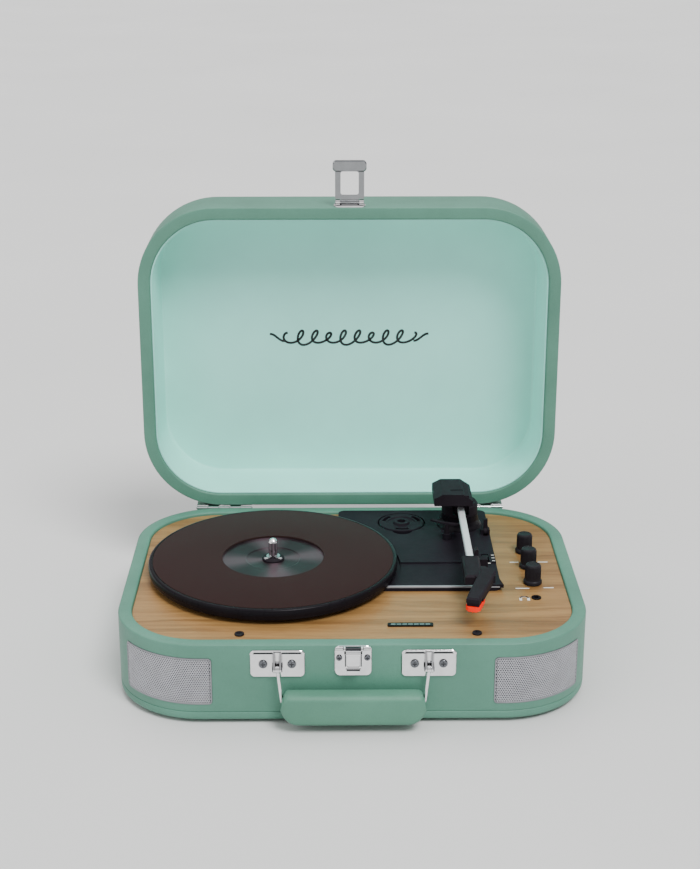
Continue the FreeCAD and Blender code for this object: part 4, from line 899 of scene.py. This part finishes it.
# ================================================================ lid
def lid():
    z0, top = LID_Z0, LID_TOP
    outer = [(WALL, top - 3.0), (WALL, z0 + 1.5)] + fillet(WALL - 1.5, z0 + 1.5, 1.5, 0, -90)
    outer += fillet(RIM_R, z0 + RIM_R, RIM_R, 270, 180) + fillet(6.0, top - 6.0, 6.0, 180, 90, 8)
    outer += [(30.0, top), (60.0, top)]
    shell = case_loft("lid_cover", outer, caps=True)
    place(open_lid(shell), "lid", "leatherette", MINT, "lid_shell")
    mouth, ceiling, card, draft, r = z0 + 2.0, top - 4.25, 1.25, 3.0, 2.2
    inset = WALL + card
    lining = [(58.0, ceiling + 1.15), (WALL + draft + 0.1, ceiling + 1.15), (WALL + 0.1, mouth + 0.1),
              (WALL + 0.3, mouth), (inset - 0.3, mouth), (inset, mouth + 0.3)]
    lining += fillet(inset + draft - 0.2 + r, ceiling - r, r, 180, 90, 5)
    lining += [(40.0, ceiling), (58.0, ceiling)]
    liner = case_loft("lid_liner", lining, caps=True)
    place(open_lid(liner), "lid", "lining", LINING, "lid_lining")
    ornament(ceiling)


def ornament(ceiling):
    """A generic printed flourish: a run of uneven loops between two waving strokes."""
    half, y0, loops, n = 56.0, -6.7, 9, 260
    line = []
    for i in range(n + 1):
        t = i / n
        turn = TAU * loops * t
        tall = 4.2 + 2.6 * math.sin(3 * math.pi * t) ** 2
        x = -half + 2 * half * t - 4.6 * math.sin(turn)
        line.append((x + 0.4 * tall * math.cos(turn), y0 - tall * math.cos(turn)))
    strokes = [line]
    for s in (-1, 1):
        strokes.append([(s * (half + 1 + k), y0 + 3.2 * math.cos(math.pi * k / 12)) for k in range(13)])
    marks = flat_marks("lid_ornament", strokes, ceiling - 0.12, 2.0, 0.10)
    place(open_lid(marks), "lid", "lining", GREY_INK)


# ================================================================ stage
FLOOR_REACH = 60000.0
LIGHTS = (("key_light", (520, -900, 1500), 2.95, 24), ("fill_light", (-1300, -700, 900), 0.7, 60),
          ("back_light", (-200, 900, 1500), 1.0, 50))      # name, direction, power, spread in degrees


def stage():
    corners = [(x * FLOOR_REACH, y * FLOOR_REACH, 0) for x, y in ((-1, -1), (1, -1), (1, 1), (-1, 1))]
    floor = build("floor", corners, [(0, 1, 2, 3)])
    floor.data.materials.append(plain_floor("pale_floor"))
    studio_world()
    for name, at, power, spread in LIGHTS:
        data = bpy.data.lights.new(name, "SUN")
        data.energy = power
        data.angle = math.radians(spread)
        lamp = bpy.data.objects.new(name, data)
        bpy.context.scene.collection.objects.link(lamp)
        lamp.location = Vector(at) * MM
        lamp.rotation_euler = Vector(at).to_track_quat("Z", "Y").to_euler()


def studio_world():
    """Soft studio surround: bright overhead and near the floor, darker between them."""
    world = bpy.data.worlds.new("studio")
    bpy.context.scene.world = world
    world.use_nodes = True
    tree = world.node_tree
    place_in = tree.nodes.new("ShaderNodeTexCoord")
    split = tree.nodes.new("ShaderNodeSeparateXYZ")
    ramp = tree.nodes.new("ShaderNodeValToRGB")
    tree.links.new(place_in.outputs["Generated"], split.inputs[0])
    tree.links.new(split.outputs["Z"], ramp.inputs["Fac"])
    tree.links.new(ramp.outputs["Color"], tree.nodes["Background"].inputs["Color"])
    stops = ((0.0, 0.85), (0.08, 0.80), (0.22, 0.35), (0.36, 0.75), (0.7, 1.0))
    elements = ramp.color_ramp.elements
    while len(elements) < len(stops):
        elements.new(0.5)
    for element, (position, grey) in zip(elements, stops):
        element.position = position
        element.color = (grey, grey, grey * 1.02, 1)
    tree.nodes["Background"].inputs["Strength"].default_value = 0.7


def camera():
    pitch, yaw = 0.3425, 0.0097
    data = bpy.data.cameras.new("camera")
    data.sensor_width = 36.0
    data.lens = 67.49
    data.clip_end = 200.0
    cam = bpy.data.objects.new("camera", data)
    bpy.context.scene.collection.objects.link(cam)
    cam.location = Vector((-12.6, -1189.1, 602.9)) * MM
    level = math.cos(pitch)
    forward = Vector((math.sin(yaw) * level, math.cos(yaw) * level, -math.sin(pitch)))
    cam.rotation_euler = forward.to_track_quat("-Z", "Y").to_euler()
    bpy.context.scene.camera = cam


camera()
stage()
case_wall()
grilles()
top_panel()
platter()
hidden_parts()
deck_and_arm()
hardware()
grip()
lid()
